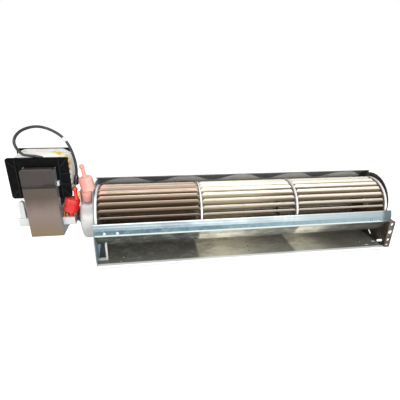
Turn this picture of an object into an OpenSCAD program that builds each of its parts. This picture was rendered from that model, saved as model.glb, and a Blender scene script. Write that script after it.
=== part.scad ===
// Tangential blower with a shaded-pole motor, in millimetres.
// Sizes are set about the wheel's axis: X runs along the axis from the wheel's left disc,
// Y to the back and Z up. Every piece is then moved so that the origin is at the centre
// of the base of the whole blower.

/* [Wheel] */
// Outside diameter of the discs and rings
wheel_d = 60; // [56:1:64]
// Length between the two end discs
wheel_len = 300; // [240:5:360]
// Number of bays between discs and rings
bay_count = 3; // [2:1:4]
// Number of blades
blade_count = 26; // [20:1:26]
// Sheet thickness of a blade
blade_t = 0.5; // [0.4:0.1:0.7]
// Radial depth of a blade
blade_depth = 8; // [7:0.5:9]
// Radius of a blade's curve
blade_curve_r = 9; // [8:0.5:11]
// Distance of the blade tips inside the rings' outer edge
blade_tip_inset = 0.4; // [0.2:0.1:0.8]
// Radial depth of the tab that passes through a ring or disc
tab_depth = 3; // [2.5:0.5:4]
// Length of the notch beside each ring, along the blade
notch_len = 4; // [3:0.5:6]
// Angle of the first blade's tip above the level front
first_tip_a = 30; // [0:1:40]
// Thickness of an intermediate ring
ring_t = 1.6; // [1.2:0.2:2.4]
// Radial width of an intermediate ring
ring_w = 11; // [9.5:0.5:12]
// Sheet thickness of the end discs
disc_t = 1; // [0.8:0.1:1.2]
// Length of the rim turned at each end disc
rim_len = 2; // [1.6:0.1:2.4]

/* [Housing] */
// Sheet thickness of the housing
sheet_t = 0.8; // [0.6:0.1:1]
// Inside radius of the scroll
scroll_r = 37.5; // [36.5:0.5:39]
// Distance of the scroll's centre behind the wheel's axis
scroll_back = 1.5; // [1:0.5:2.5]
// Angle of the scroll's top edge above the level back
scroll_top_a = 70; // [60:1:75]
// Gap between the wheel and the floor
floor_gap = 9; // [7:0.5:10]
// Reach of the floor in front of the wheel
floor_reach = 7.1; // [6:0.5:9]
// Height of the lip turned down at the floor's front edge
lip_h = 4.4; // [3:0.2:6]
// Distance from each end of the floor to the end of its lip
lip_inset = 4; // [2:1:8]
// Gap between the wheel's rim and the left end plate
left_gap = 0.6; // [0.5:0.1:0.9]
// Gap between the right disc and the right end plate
right_gap = 4.5; // [4.3:0.1:5]
// Radius of the inlet arc of the end plates
inlet_r = 31.5; // [31:0.1:31.8]
// Distance of the inlet arc's centre behind the wheel's axis
inlet_back = 4; // [3:0.5:5]
// Height of the inlet arc's centre above the wheel's axis
inlet_up = 2; // [1:0.5:3]

/* [Outlet] */
// Gap between the wheel and the back of the rail
rail_gap = 3.4; // [3.2:0.2:5]
// Depth of the rail's face below the wheel's axis, at its lower edge
rail_low = 8.9; // [8:0.1:10]
// Height of the rail's upright band
rail_band_h = 5.7; // [4:0.1:7]
// Height of the rail's sloping band
rail_slope_h = 6; // [4:0.5:7]
// Distance the sloping band leans back
rail_slope_back = 2.2; // [1.5:0.1:2.4]
// Depth of the tongue behind the rail
tongue_back = 5; // [4.5:0.1:5.4]
// Drop of the tongue behind the rail
tongue_drop = 5.3; // [4.8:0.1:5.8]
// Angle below the level front at which the tongue's sheet ends under the wheel
tongue_end_a = 48; // [34:1:56]
// Bend radius of the folded rail
bend_r = 1.2; // [1:0.1:1.6]
// Length of the rail's tab past the right plate
rail_tab = 1.2; // [0.5:0.1:3]
// Width of the flange turned out at the right of the outlet
flange_w = 6; // [5.6:0.2:9]
// Depth of the shelf on top of that flange
shelf_d = 9; // [6:1:12]
// Radius of the flange's two fixing holes
fix_hole_r = 1.6; // [1.4:0.1:2]
// Radius of the flange's middle hole
mid_hole_r = 2.2; // [1.8:0.1:2.4]
// Distance between neighbouring holes of the flange
fix_pitch = 9.3; // [8.5:0.1:10]
// Distance of the first hole below the flange's top
fix_first = 3.1; // [3:0.1:4]
// Radius of the small holes in the floor
floor_hole_r = 0.9; // [0.6:0.1:1.4]
// Distance between the small holes in the floor
floor_pitch = 9.3; // [7:0.1:11]
// Width of the corner bracket's leaf at the left of the outlet
corner_w = 9; // [7:0.5:12]
// Distance of the corner bracket behind the floor's front edge
corner_back = 12.5; // [10:0.5:14]

/* [Drive side] */
// Outside radius of the drawn cup
cup_r = 23.6; // [21:0.2:25]
// Depth of the drawn cup
cup_depth = 13; // [12:0.2:14]
// Corner radius of the drawn cup
cup_corner_r = 3; // [2:0.5:4]
// Radius of the hole in the cup's face
cup_hole_r = 10; // [9.5:0.5:12]
// Largest radius of the rubber drive hub
hub_r = 8; // [7:0.5:8.5]
// Smallest radius of the rubber drive hub
hub_nose_r = 6.5; // [5:0.5:7]
// Gap between the inner bridge and the drive hub
hub_gap = 0.8; // [0.5:0.1:1.4]
// Diameter of the motor shaft
shaft_d = 5; // [4:0.5:6]
// Diameter of the tail pin at the right
tail_d = 5; // [4:0.5:6]
// Length of the tail bearing
tail_bearing_len = 6; // [5:0.5:7]
// Radial running clearance of the shafts in their bearings
run_clear = 0.05; // [0.03:0.01:0.08]

/* [Motor] */
// Gap between the bobbin's flange and the cup
bobbin_to_cup = 6; // [5.8:0.1:8]
// Thickness of the core, along the shaft
core_t = 29; // [24:0.5:34]
// Width of the core, front to back
core_w = 40; // [38:0.5:44]
// Depth of the core below the shaft
core_low = 13; // [12.4:0.2:15]
// Height of the joint between core and coil bar above the shaft
joint_z = 36; // [35:0.5:40]
// Height of the coil bar
bar_h = 18; // [16:0.5:19]
// Height of the window's floor above the shaft
window_z = 15; // [13.5:0.5:17]
// Width of the core's arms
arm_w = 7; // [6:0.25:8]
// Radius of the rotor
rotor_r = 9.2; // [8:0.1:9.6]
// Air gap around the rotor
air_gap = 0.35; // [0.3:0.05:0.45]
// Rounding of the core's outer corners
core_corner_r = 1.5; // [1:0.25:2.5]
// Width of the bobbin's flanges
bobbin_w = 53.1; // [50:0.1:54]
// Height of the bobbin's flanges
bobbin_h = 38.4; // [37:0.2:40]
// Thickness of the bobbin's flanges
flange_t = 1.6; // [1.2:0.1:2]
// Wall of the bobbin's tube
tube_t = 1.2; // [1:0.1:1.6]
// Distance of the flanges' middle below the coil bar's middle
bobbin_drop = 1.2; // [0:0.2:1.6]
// Shift of the flanges to the left of the core's middle
bobbin_shift = 0.6; // [0:0.1:1]
// Rise of the back flange above the front one
back_rise = 3.5; // [2:0.1:4]
// Inset of the taped coil inside the flanges' left and lower edges
coil_inset = 1.1; // [0.8:0.1:2]
// Bulge of the taped coil past the front flange's right edge
coil_bulge = 1.2; // [0.8:0.1:1.4]
// Bulge of the taped coil above the front flange
coil_rise = 3.8; // [3:0.1:4.4]
// Height of the bridges' bars
bridge_h = 8.4; // [8:0.2:10]
// Reach of a bridge beyond the core's side
bridge_reach = 11; // [10.5:0.25:12]
// Length of a bridge's bar, front to back
bridge_len = 28.4; // [28:0.2:32]
// Width of the ear on the outer bridge
outer_ear_w = 4.6; // [4:0.2:5.4]
// Thickness of the ear on the outer bridge
outer_ear_t = 4; // [3:0.5:5]
// Height of the ear on the outer bridge, above the shaft
outer_ear_h = 21; // [16:0.5:22]
// Radius of a bridge's bearing boss
boss_r = 6; // [5.5:0.25:6.5]
// Length of a motor bearing
bearing_len = 5; // [4:0.5:6]

/* [Fittings] */
// Radius of the upper isolator's body
iso_r = 6.5; // [6:0.1:7]
// Radius of the lower isolator's body
low_iso_r = 7; // [6.5:0.1:7.2]
// Height of an isolator's body
iso_h = 13; // [11:0.5:13]
// Radius of the upper isolator's foot
iso_foot_r = 4.6; // [4:0.1:4.8]
// Height of the upper isolator's body above the cup's rim
iso_foot_h = 7.6; // [7.2:0.1:9]
// Height of the lower isolator's stem
low_stem_h = 4.4; // [3.6:0.1:4.4]
// Radius of an isolator's tail ball
iso_ball_r = 2.4; // [2:0.1:2.8]
// Height of the tail ball's centre above the body
iso_tail = 10; // [9:0.5:12]
// Diameter of the motor lead
lead_d = 2.5; // [2:0.1:3]
// Length of the sleeve at the end of the lead
sleeve_len = 9; // [7:0.5:11]
// Outside radius of the sleeve
sleeve_r = 2.4; // [2:0.1:2.6]

/* [Hidden] */
$fn = 72;
eps = 0.01;
fit = 0.1;
seat = 0.3;

// Places of the wheel
wheel_r = wheel_d / 2;
tip_r = wheel_r - blade_tip_inset;
root_r = wheel_r - blade_depth;
ring_in_r = wheel_r - ring_w;
curve_a = atan2(blade_curve_r, root_r)
  + asin((pow(tip_r, 2) - pow(root_r, 2) - 2 * pow(blade_curve_r, 2))
         / (2 * blade_curve_r * sqrt(pow(root_r, 2) + pow(blade_curve_r, 2))));
tip_u = root_r + blade_curve_r * sin(curve_a);
tip_v = blade_curve_r * (1 - cos(curve_a));
tip_lead_a = atan2(tip_v, tip_u);
tab_u0 = (root_r + tip_u) / 2 - tab_depth / 2;
tab_u1 = tab_u0 + tab_depth;
tab_out = 0.4;
bay_len = wheel_len / bay_count;

// Places of the housing
floor_z = -(wheel_r + floor_gap);
scroll_z = floor_z + scroll_r;
front_y = -(wheel_r + floor_reach);
left_x = -(rim_len + left_gap);
right_x = wheel_len + right_gap;
base_z = floor_z - lip_h;
scroll_out_r = scroll_r + sheet_t;
rail_y = -(wheel_r + rail_gap);
rail_mid_y = rail_y - sheet_t / 2;
rail_bend_z = -rail_low + rail_band_h;
rail_top_z = rail_bend_z + rail_slope_h;
tongue_r = norm([rail_mid_y + tongue_back, rail_low + tongue_drop]);
tongue_start_a = atan2(rail_low + tongue_drop, -rail_mid_y - tongue_back) - 0.3;
flange_y = front_y + sheet_t / 2;
flange_top_z = -rail_low;
flange_x1 = right_x + sheet_t + flange_w;
hole_x = right_x + sheet_t + flange_w / 2 - 0.3;
hole_z = flange_top_z - fix_first;
tab_angles = [-75, -25, 25, 60];
tab_span_a = 9;
tail_hole_r = tail_d / 2 + 6.8;
corner_y = front_y + corner_back;

// Places of the drive side and the motor
cup_x = left_x - sheet_t - cup_depth;
bobbin_x1 = cup_x - bobbin_to_cup;
bobbin_x0 = bobbin_x1 - bobbin_w;
bobbin_x = (bobbin_x0 + bobbin_x1) / 2;
core_mid_x = bobbin_x + bobbin_shift;
core_x1 = core_mid_x + core_t / 2;
core_x0 = core_mid_x - core_t / 2;
arm_in_y = core_w / 2 - arm_w;
bore_r = rotor_r + air_gap;
bobbin_y = arm_in_y - seat;
bar_z = joint_z + bar_h / 2;
bobbin_z = bar_z - bobbin_drop;
bobbin_z0 = bobbin_z - bobbin_h / 2;
bobbin_z1 = bobbin_z + bobbin_h / 2;
flange_back_y = bobbin_y - flange_t;
tube_w = core_t + 2 * fit;
tube_h = bar_h + 2 * fit;
shaft_r = shaft_d / 2;
tail_r = tail_d / 2;
bearing_r = shaft_r + 2;
tail_bearing_r = tail_r + 3.5;
bridge_x1 = core_x1 + bridge_reach;
bridge_x0 = core_x0 - bridge_reach;
screw_r = 1.2;
screw_head_r = 2.1;
screw_head_h = 1;
screw_y = bore_r + screw_r + 1.15;
coil_x1 = bobbin_x1 + coil_bulge;
coil_side_r = 60;
coil_side_y = 2;
pocket_d = 4;
shade_a = -27;
shade_w = 2;
shade_t = 1.8;
shade_r = bore_r + 1.1 * shade_w;
shaft_x0 = bridge_x0 + 0.6;
shaft_x1 = 8;
hub_x0 = bridge_x1 + hub_gap;

// Places of the fittings
top_iso = [-9.3, -13];
top_iso_lean = -9;
low_iso = [bobbin_x1 - 4.1, 2.7 - bridge_len / 2];
low_iso_lean = 15;
low_tail_x = bobbin_x1 + iso_ball_r + 0.3;
brass_h = 3.4;
ear_w = 8;
ear_x = cup_x + 1.2;
ear_top_z = cup_r + 7.2;
ear_screw_z = ear_top_z - 4;

// Points of the lead from the coil to its sleeve, as X, Y and Z about the wheel's axis
lead_y = 3.1 - flange_back_y;
coil_z = bobbin_z1;
lead_points = [
  [-43.5, lead_y + 0.2, coil_z - 1.8], [-47, lead_y - 1.2, coil_z - 0.2],
  [-51, lead_y - 1.8, coil_z + 0.9], [-55.5, lead_y - 3, coil_z + 1.7],
  [-60, lead_y - 3.2, coil_z + 3], [-64.2, lead_y - 2, coil_z + 7.5],
  [-66, lead_y - 1, coil_z + 13], [-64.5, lead_y, coil_z + 18], [-60, lead_y, coil_z + 22.5],
  [-53.5, lead_y, coil_z + 25.5], [-46, lead_y, coil_z + 26.8], [-38.5, lead_y, coil_z + 25.6],
  [-31, lead_y, coil_z + 22], [-25, lead_y, coil_z + 17], [coil_x1 + 0.4, lead_y, coil_z + 10],
  [coil_x1 + 2.9, lead_y, coil_z + 2], [coil_x1 + 4.2, lead_y, coil_z - 6],
  [coil_x1 + 4.3, lead_y, coil_z - 13], [coil_x1 + 3.7, lead_y, coil_z - 18.4]];
lead_end = lead_points[len(lead_points) - 1];
lead_sides = 8;
lead_rings_per_span = 3;
sleeve_lean = 10;

// Overall box, which sets the origin
box_x0 = bobbin_x0;
box_x1 = flange_x1;
box_y0 = front_y;
box_y1 = scroll_back + scroll_out_r;
origin = [-(box_x0 + box_x1) / 2, -(box_y0 + box_y1) / 2, -base_z];

function two(n) = n < 10 ? str("0", n) : str(n);
BLADES = [for (k = [1 : blade_count]) str("blade_", two(k))];
RINGS = [for (k = [1 : bay_count - 1]) str("wheel_ring_", k)];

// Moves a piece from the wheel's axis to the blower's origin
module placed() { translate(origin) children(); }

// Extrudes an outline drawn in Y and Z along X
module along_x(x, length) {
  translate([x, 0, 0]) rotate([90, 0, 90]) linear_extrude(length) children();
}

// A round bar along X
module rod_x(r, x, length) { along_x(x, length) circle(r); }

// Turns a profile, drawn as radius and distance along X, about the wheel's axis
module turned_x(x) {
  translate([x, 0, 0]) rotate([0, 90, 0]) rotate_extrude() children();
}

// A pie slice that holds the directions from a0 to a1
module slice(r, a0, a1) {
  steps = ceil((a1 - a0) / 45);
  far = r / cos((a1 - a0) / steps / 2);
  polygon(concat([[0, 0]], [for (k = [0 : steps])
    let (a = a0 + (a1 - a0) * k / steps) [far * cos(a), far * sin(a)]]));
}

// An upright slot with round ends, from its centre
module slot_2d(length, r) {
  square([length - 2 * r, 2 * r], center = true);
  for (s = [-1, 1]) translate([s * (length / 2 - r), 0]) circle(r);
}

// A rectangle with round corners, from its centre
module rounded(w, h, r) {
  square([w - 2 * r, h], center = true);
  square([w, h - 2 * r], center = true);
  for (i = [-1, 1], j = [-1, 1]) translate([i * (w / 2 - r), j * (h / 2 - r)]) circle(r);
}

// Unit vector from a to b, and the points of a bend of radius r at b between a and c
function unit(a, b) = (b - a) / norm(b - a);
function bend(a, b, c, r, steps) =
  let (u = unit(b, a), w = unit(b, c), half = acos(u * w) / 2, m = unit([0, 0], u + w),
       centre = b + m * r / sin(half),
       p = b + u * r / tan(half), q = b + w * r / tan(half),
       a0 = atan2(p[1] - centre[1], p[0] - centre[0]),
       a1 = atan2(q[1] - centre[1], q[0] - centre[0]),
       turn = a1 - a0 > 180 ? a1 - a0 - 360 : a1 - a0 < -180 ? a1 - a0 + 360 : a1 - a0)
  [for (k = [0 : steps]) centre + r * [cos(a0 + turn * k / steps), sin(a0 + turn * k / steps)]];
function folded(p, r) = concat([p[0]],
  [for (i = [1 : len(p) - 2]) each bend(p[i - 1], p[i], p[i + 1], r, 4)], [p[len(p) - 1]]);
function side_of(path, d) = [for (i = [0 : len(path) - 1])
  let (a = unit(path[max(i - 1, 0)], path[max(i, 1)]),
       b = unit(path[min(i, len(path) - 2)], path[min(i + 1, len(path) - 1)]),
       n = [-(a + b)[1], (a + b)[0]] / norm(a + b), spread = n * [-a[1], a[0]])
  path[i] + n * d / spread];
function backwards(p) = [for (i = [len(p) - 1 : -1 : 0]) p[i]];

// A folded sheet's section, from the middle line of the sheet
module folded_sheet(points, r, t) {
  path = folded(points, r);
  polygon(concat(side_of(path, t / 2), backwards(side_of(path, -t / 2))));
}

// WHEEL

// A blade's curved strip in the blade's own place, inner edge on the level line
module blade_strip(extra) {
  translate([root_r, -blade_curve_r]) intersection() {
    difference() {
      circle(blade_curve_r + blade_t / 2 + extra, $fn = 120);
      circle(blade_curve_r - blade_t / 2 - extra, $fn = 120);
    }
    slice(2 * blade_curve_r, 90 - curve_a, 90);
  }
}

// Turns a blade or its slot to its place on the wheel
module at_blade(k) {
  rotate(180 - first_tip_a + tip_lead_a - k * 360 / blade_count) children();
}

// The slots that the blades' tabs pass through
module blade_slots() {
  for (k = [0 : blade_count - 1]) at_blade(k) intersection() {
    blade_strip(fit);
    translate([tab_u0 - fit, -root_r]) square([tab_depth + 2 * fit, 2 * root_r]);
  }
}

// One blade, with its tabs in the discs and its necks in the rings
module blade(k) {
  x0 = -disc_t - tab_out;
  x1 = wheel_len + disc_t + tab_out;
  color("tan") placed() rotate([180 - first_tip_a + tip_lead_a - k * 360 / blade_count, 0, 0])
  difference() {
    along_x(x0, x1 - x0) blade_strip(0);
    for (i = [0 : bay_count]) {
      half = i == 0 || i == bay_count ? fit : ring_t / 2 + fit;
      translate([i * bay_len, 0, -root_r]) linear_extrude(2 * root_r) blade_notches(half);
    }
    for (s = [0, 1]) translate([s == 0 ? x0 - 1 : wheel_len, 0, -root_r])
      linear_extrude(2 * root_r) end_trim(disc_t + tab_out + 1);
  }
}

// Both notches of one ring, drawn in X and Y
module blade_notches(half) {
  far = 2 * blade_t;
  for (side = [[tab_u1, tip_u + far], [tab_u0, root_r - far]])
    polygon([[-half, side[0]], [half, side[0]], [half + notch_len, side[1]],
             [-half - notch_len, side[1]]]);
}

// What is cut from a blade's end to leave its tab
module end_trim(length) {
  translate([0, tab_u1]) square([length, 2 * blade_depth]);
  translate([0, tab_u0 - 2 * blade_depth]) square([length, 2 * blade_depth]);
}

module wheel_ring(i) {
  color("gainsboro") placed() along_x(i * bay_len - ring_t / 2, ring_t) difference() {
    circle(wheel_r, $fn = 144);
    circle(ring_in_r, $fn = 144);
    blade_slots();
  }
}

module disc_with_rim(hole_r) {
  difference() {
    circle(wheel_r, $fn = 144);
    circle(hole_r);
    blade_slots();
  }
}

module wheel_left_disc() {
  color("gainsboro") placed() {
    along_x(-disc_t, disc_t) disc_with_rim(hub_r - 1.5 + fit);
    along_x(-rim_len, rim_len - disc_t) difference() {
      circle(wheel_r, $fn = 144);
      circle(wheel_r - 1, $fn = 144);
    }
  }
}

module wheel_right_disc() {
  color("gainsboro") placed() {
    along_x(wheel_len, disc_t) disc_with_rim(tail_r + 1 + fit);
    along_x(wheel_len + disc_t, rim_len - disc_t) difference() {
      circle(wheel_r, $fn = 144);
      circle(wheel_r - 1, $fn = 144);
    }
  }
}

// Rubber hub that grips the shaft and carries the left disc in a groove
module drive_hub() {
  neck_r = hub_r - 1.5;
  nose = 1.5;
  color("darkslategray") placed() difference() {
    turned_x(0) polygon([
      [shaft_r + eps, hub_x0], [hub_nose_r, hub_x0], [hub_r, hub_x0 + nose],
      [hub_r, -disc_t - fit], [neck_r, -disc_t - fit], [neck_r, fit], [hub_r, fit],
      [hub_r - 1, 4], [shaft_r + eps, 4]]);
  }
}

module rotor_shaft() {
  color("silver") placed() turned_x(0) polygon([
    [0, shaft_x0], [shaft_r - 0.4, shaft_x0], [shaft_r, shaft_x0 + 0.4],
    [shaft_r, shaft_x1 - 0.4], [shaft_r - 0.4, shaft_x1], [0, shaft_x1]]);
}

// Rotor: a stack of steel sheets with a cast ring at each end
module rotor_core() {
  ring_len = 2.2;
  color("dimgray") placed() difference() {
    union() {
      rod_x(rotor_r, core_x0, core_t);
      for (x = [core_x0 - ring_len, core_x1]) rod_x(rotor_r - 0.8, x, ring_len);
    }
    rod_x(shaft_r + eps, core_x0 - ring_len - 1, core_t + 2 * ring_len + 2);
    for (x = [core_x0 - ring_len - 1, core_x1 + 0.8]) rod_x(rotor_r - 3.4, x, ring_len + 0.2);
  }
}

// Pin riveted to the right disc, which runs in the tail bearing
module tail_pin() {
  x = wheel_len + disc_t;
  color("silver") placed() turned_x(0) polygon([
    [0, wheel_len - 1.2], [tail_r + 2.5, wheel_len - 1.2], [tail_r + 2.5, wheel_len],
    [tail_r + 1, wheel_len], [tail_r + 1, x], [tail_r + 3, x], [tail_r + 3, x + 1.2],
    [tail_r, x + 1.2], [tail_r, right_x + tail_bearing_len - 1.5],
    [tail_r - 0.5, right_x + tail_bearing_len - 1], [0, right_x + tail_bearing_len - 1]]);
}

// HOUSING

// The scroll's sheet from its top edge round to the floor, between two radii
module scroll_arc(r0, r1, a0, a1) {
  translate([scroll_back, scroll_z]) intersection() {
    difference() {
      circle(r1, $fn = 180);
      circle(r0, $fn = 180);
    }
    slice(2 * r1, a0, a1);
  }
}

module scroll_wall() {
  length = right_x - left_x;
  color("slategray") placed() difference() {
    union() {
      along_x(left_x, length) {
        scroll_arc(scroll_r, scroll_out_r, -90, scroll_top_a);
        translate([front_y, floor_z - sheet_t]) square([scroll_back - front_y, sheet_t]);
      }
      along_x(left_x + lip_inset, length - 2 * lip_inset)
        translate([front_y, base_z]) square([sheet_t, lip_h]);
      for (a = tab_angles, x = [left_x - sheet_t - 1, right_x])
        along_x(x, sheet_t + 1) scroll_arc(scroll_r, scroll_out_r, a, a + tab_span_a);
    }
    for (i = [0 : 2]) translate([wheel_len / 2 + 3.7, front_y + 10.5 + i * floor_pitch, floor_z - 2])
      cylinder(h = 4, r = floor_hole_r, $fn = 24);
    for (x = [left_x + 22, right_x - 22], i = [0, 1])
      translate([x + 2 * i, front_y + 6 + 7.5 * i, floor_z - 2]) cylinder(h = 4, r = floor_hole_r, $fn = 24);
    translate([right_x - 16, front_y + 7.2, floor_z - 2]) linear_extrude(4) slot_2d(5.5, 0.9);
    translate([right_x - 3.4, front_y + 13.2, floor_z - 2]) linear_extrude(4) slot_2d(5, 1);
  }
}

// Folded rail: sloping band, upright band and the tongue under the wheel
module rail_section() {
  folded_sheet([[rail_mid_y + rail_slope_back, rail_top_z], [rail_mid_y, rail_bend_z],
                [rail_mid_y, -rail_low], [rail_mid_y + tongue_back, -rail_low - tongue_drop]],
               bend_r, sheet_t);
}

module tongue_rail() {
  color("lightsteelblue") placed() {
    along_x(left_x, right_x - left_x) {
      rail_section();
      intersection() {
        difference() {
          circle(tongue_r + sheet_t / 2, $fn = 180);
          circle(tongue_r - sheet_t / 2, $fn = 180);
        }
        slice(2 * tongue_r, 180 + tongue_start_a, 180 + tongue_end_a);
      }
    }
    for (x = [left_x - sheet_t, right_x]) along_x(x, x < 0 ? sheet_t : sheet_t + rail_tab)
      intersection() {
        rail_section();
        translate([rail_y - 4, -rail_low + 2]) square([rail_gap + 4, rail_band_h + rail_slope_h]);
      }
  }
}

// Outline of an end plate: scroll, inlet arc and outlet cheek
module plate_outline() {
  difference() {
    union() {
      translate([scroll_back, scroll_z]) intersection() {
        circle(scroll_out_r, $fn = 180);
        slice(2 * scroll_out_r, -90, scroll_top_a);
      }
      intersection() {
        translate([inlet_back, inlet_up]) circle(inlet_r, $fn = 180);
        translate([-2 * wheel_r, floor_z / 2]) square(4 * wheel_r);
      }
      polygon([[flange_y, flange_top_z], [flange_y, floor_z - sheet_t],
               [scroll_back, floor_z - sheet_t], [scroll_back, 0], [rail_y + 4, rail_bend_z + 1],
               [rail_y + seat, rail_bend_z], [rail_y + seat, flange_top_z]]);
    }
    for (a = tab_angles) scroll_arc(scroll_r - fit, scroll_out_r + fit, a - 0.2, a + tab_span_a + 0.2);
  }
}

module left_end_plate() {
  color("silver") placed() along_x(left_x - sheet_t, sheet_t) difference() {
    plate_outline();
    circle(cup_hole_r + 2);
    rail_clearance();
  }
}

// Room in the plates for the ends of the rail
module rail_clearance() {
  translate([rail_y - 4, -rail_low + 2 - fit]) square([4 + seat, 4 * rail_slope_h]);
}

module right_end_plate() {
  color("slategray") placed() difference() {
    union() {
      along_x(right_x, sheet_t) difference() {
        plate_outline();
        circle(tail_hole_r);
        rail_clearance();
        translate([front_y + 26.5, floor_z + 5]) rotate(38) slot_2d(6, 1.1);
        translate([front_y + 8.9, floor_z + 3.2]) rotate(-32) slot_2d(9.6, 1.2);
      }
      translate([right_x + sheet_t, flange_y, floor_z - sheet_t])
        cube([flange_w, sheet_t, flange_top_z - floor_z + sheet_t]);
      translate([right_x + sheet_t, flange_y, flange_top_z - sheet_t])
        cube([flange_w, shelf_d, sheet_t]);
    }
    for (i = [0 : 2]) flange_hole(hole_z - i * fix_pitch, i == 1 ? mid_hole_r : fix_hole_r);
    translate([hole_x, flange_y - 1, floor_z + 2.2]) rotate([-90, 0, 0]) linear_extrude(sheet_t + 2)
      slot_2d(3, 0.8);
  }
}

module flange_hole(z, r) {
  translate([hole_x, flange_y - 1, z]) rotate([-90, 0, 0]) cylinder(h = sheet_t + 2, r = r, $fn = 32);
}

// Angle at the left of the outlet, its leaf cut back round the wheel
module outlet_bracket() {
  leaf_t = 1;
  top_z = -rail_low - tongue_drop - 1;
  color("lightgray") placed() difference() {
    union() {
      translate([left_x, corner_y, floor_z]) cube([corner_w, leaf_t, top_z - floor_z]);
      translate([left_x, corner_y, floor_z]) cube([leaf_t, 12, top_z - floor_z]);
      translate([left_x + corner_w - leaf_t, corner_y - 2.2, floor_z]) cube([leaf_t, 2.4, top_z - floor_z]);
      translate([left_x, corner_y - 2.2, floor_z]) cube([corner_w, 2.4, leaf_t]);
    }
    rod_x(tongue_r + sheet_t, left_x - 1, corner_w + 2);
  }
}

// Drawn cup on the left plate, with the ear that holds the upper brass screw
module motor_cup() {
  wall = sheet_t;
  r = cup_corner_r;
  steps = 6;
  outer = [for (k = [0 : steps]) let (a = 90 * k / steps)
    [cup_r - r + r * sin(a), cup_x + r - r * cos(a)]];
  inner = [for (k = [steps : -1 : 0]) let (a = 90 * k / steps)
    [cup_r - r + (r - wall) * sin(a), cup_x + r - (r - wall) * cos(a)]];
  end_x = left_x - sheet_t;
  color("lightgray") placed() {
    turned_x(0) polygon(concat([[cup_hole_r, cup_x]], outer,
      [[cup_r, end_x - wall], [cup_r + 2.5, end_x - wall], [cup_r + 2.5, end_x],
       [cup_r - wall, end_x]], inner, [[cup_hole_r, cup_x + wall]]));
    along_x(ear_x, wall) difference() {
      translate([top_iso[1] - ear_w / 2, cup_r / 2]) square([ear_w, ear_top_z - cup_r / 2]);
      circle(cup_r - 1.5 * wall);
      translate([top_iso[1], ear_screw_z]) circle(1.6, $fn = 24);
    }
  }
}

// Rubber ring that holds the tail bearing in the right plate
module tail_bearing_rubber() {
  lip = 1.2;
  color("dimgray") placed() turned_x(0) polygon([
    [tail_bearing_r + eps, right_x - lip], [tail_hole_r + 1.8, right_x - lip],
    [tail_hole_r + 1.8, right_x - eps], [tail_hole_r - fit, right_x - eps],
    [tail_hole_r - fit, right_x + sheet_t + eps], [tail_hole_r + 1.8, right_x + sheet_t + eps],
    [tail_hole_r + 1, right_x + sheet_t + 2], [tail_bearing_r + eps, right_x + sheet_t + 2]]);
}

module tail_bearing() {
  x = right_x - 1.4;
  color("goldenrod") placed() difference() {
    turned_x(0) polygon([[0, x], [tail_bearing_r - 1, x], [tail_bearing_r, x + 1],
      [tail_bearing_r, x + tail_bearing_len - 1], [tail_bearing_r - 1, x + tail_bearing_len],
      [0, x + tail_bearing_len]]);
    rod_x(tail_r + run_clear, x - 1, tail_bearing_len + 2);
  }
}

// Rivets that hold the rail to the plates and the bracket
module housing_rivets() {
  color("gainsboro") placed()
    for (x = [left_x + 9, left_x + 21, right_x - 9, right_x - 21])
      translate([x, rail_mid_y - sheet_t / 2, -rail_low + bend_r + 1.7]) rotate([90, 0, 0])
        rotate_extrude() polygon([[0, 0], [1.6, 0], [1.3, 0.6], [0.7, 0.9], [0, 1]]);
}

// MOTOR

// The core's outline, with its window, bore, gap slot and the shading rings' slots
module core_outline() {
  difference() {
    union() {
      translate([0, (joint_z - core_low) / 2]) rounded(core_w, joint_z + core_low, core_corner_r);
      translate([-core_w / 2, joint_z / 2]) square([core_w, joint_z / 2]);
    }
    translate([-arm_in_y, window_z]) square([2 * arm_in_y, joint_z]);
    circle(bore_r);
    translate([-0.8, 0]) square([1.6, window_z + 1]);
    translate([-1.5, -core_low - 1]) square([3, core_low - bore_r - 0.5]);
    ring_slots(fit);
  }
}

// Slots for the copper shading rings, beside the bore and through the flanks
module ring_slots(extra) {
  for (s = [-1, 1]) rotate(s == 1 ? 0 : 180) for (a = [shade_a - 11, shade_a + 11])
    rotate(a) translate([shade_r, 0]) square([shade_w + 2 * extra, shade_t + 2 * extra], center = true);
}

module stator_core() {
  color("rosybrown") placed() difference() {
    along_x(core_x0, core_t) core_outline();
    for (s = [-1, 1]) translate([0, s * screw_y, 0]) rod_x(screw_r + fit, core_x0 - 1, core_t + 2);
  }
}

// The bar through the coil, which closes the core
module coil_bar() {
  r = 2.5;
  end_r = 3;
  color("dimgray") placed() intersection() {
    along_x(core_x0, core_t) top_rounded(core_w, bar_h, r);
    translate([core_mid_x, core_w / 2, 0]) rotate([90, 0, 0]) linear_extrude(core_w)
      top_rounded(core_t, bar_h, end_r);
  }
}

// A block's outline above the joint, with its two upper corners round
module top_rounded(w, h, r) {
  translate([-w / 2, joint_z]) square([w, h - r]);
  translate([-w / 2 + r, joint_z + h - r]) square([w - 2 * r, r]);
  for (s = [-1, 1]) translate([s * (w / 2 - r), joint_z + h - r]) circle(r);
}

// A plate across the bobbin, from its left and lower edges, with its front face at y
module bobbin_plate(x0, x1, z0, z1, y, t, r) {
  translate([(x0 + x1) / 2, y + t, (z0 + z1) / 2]) rotate([90, 0, 0]) linear_extrude(t)
    rounded(x1 - x0, z1 - z0, r);
}

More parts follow.
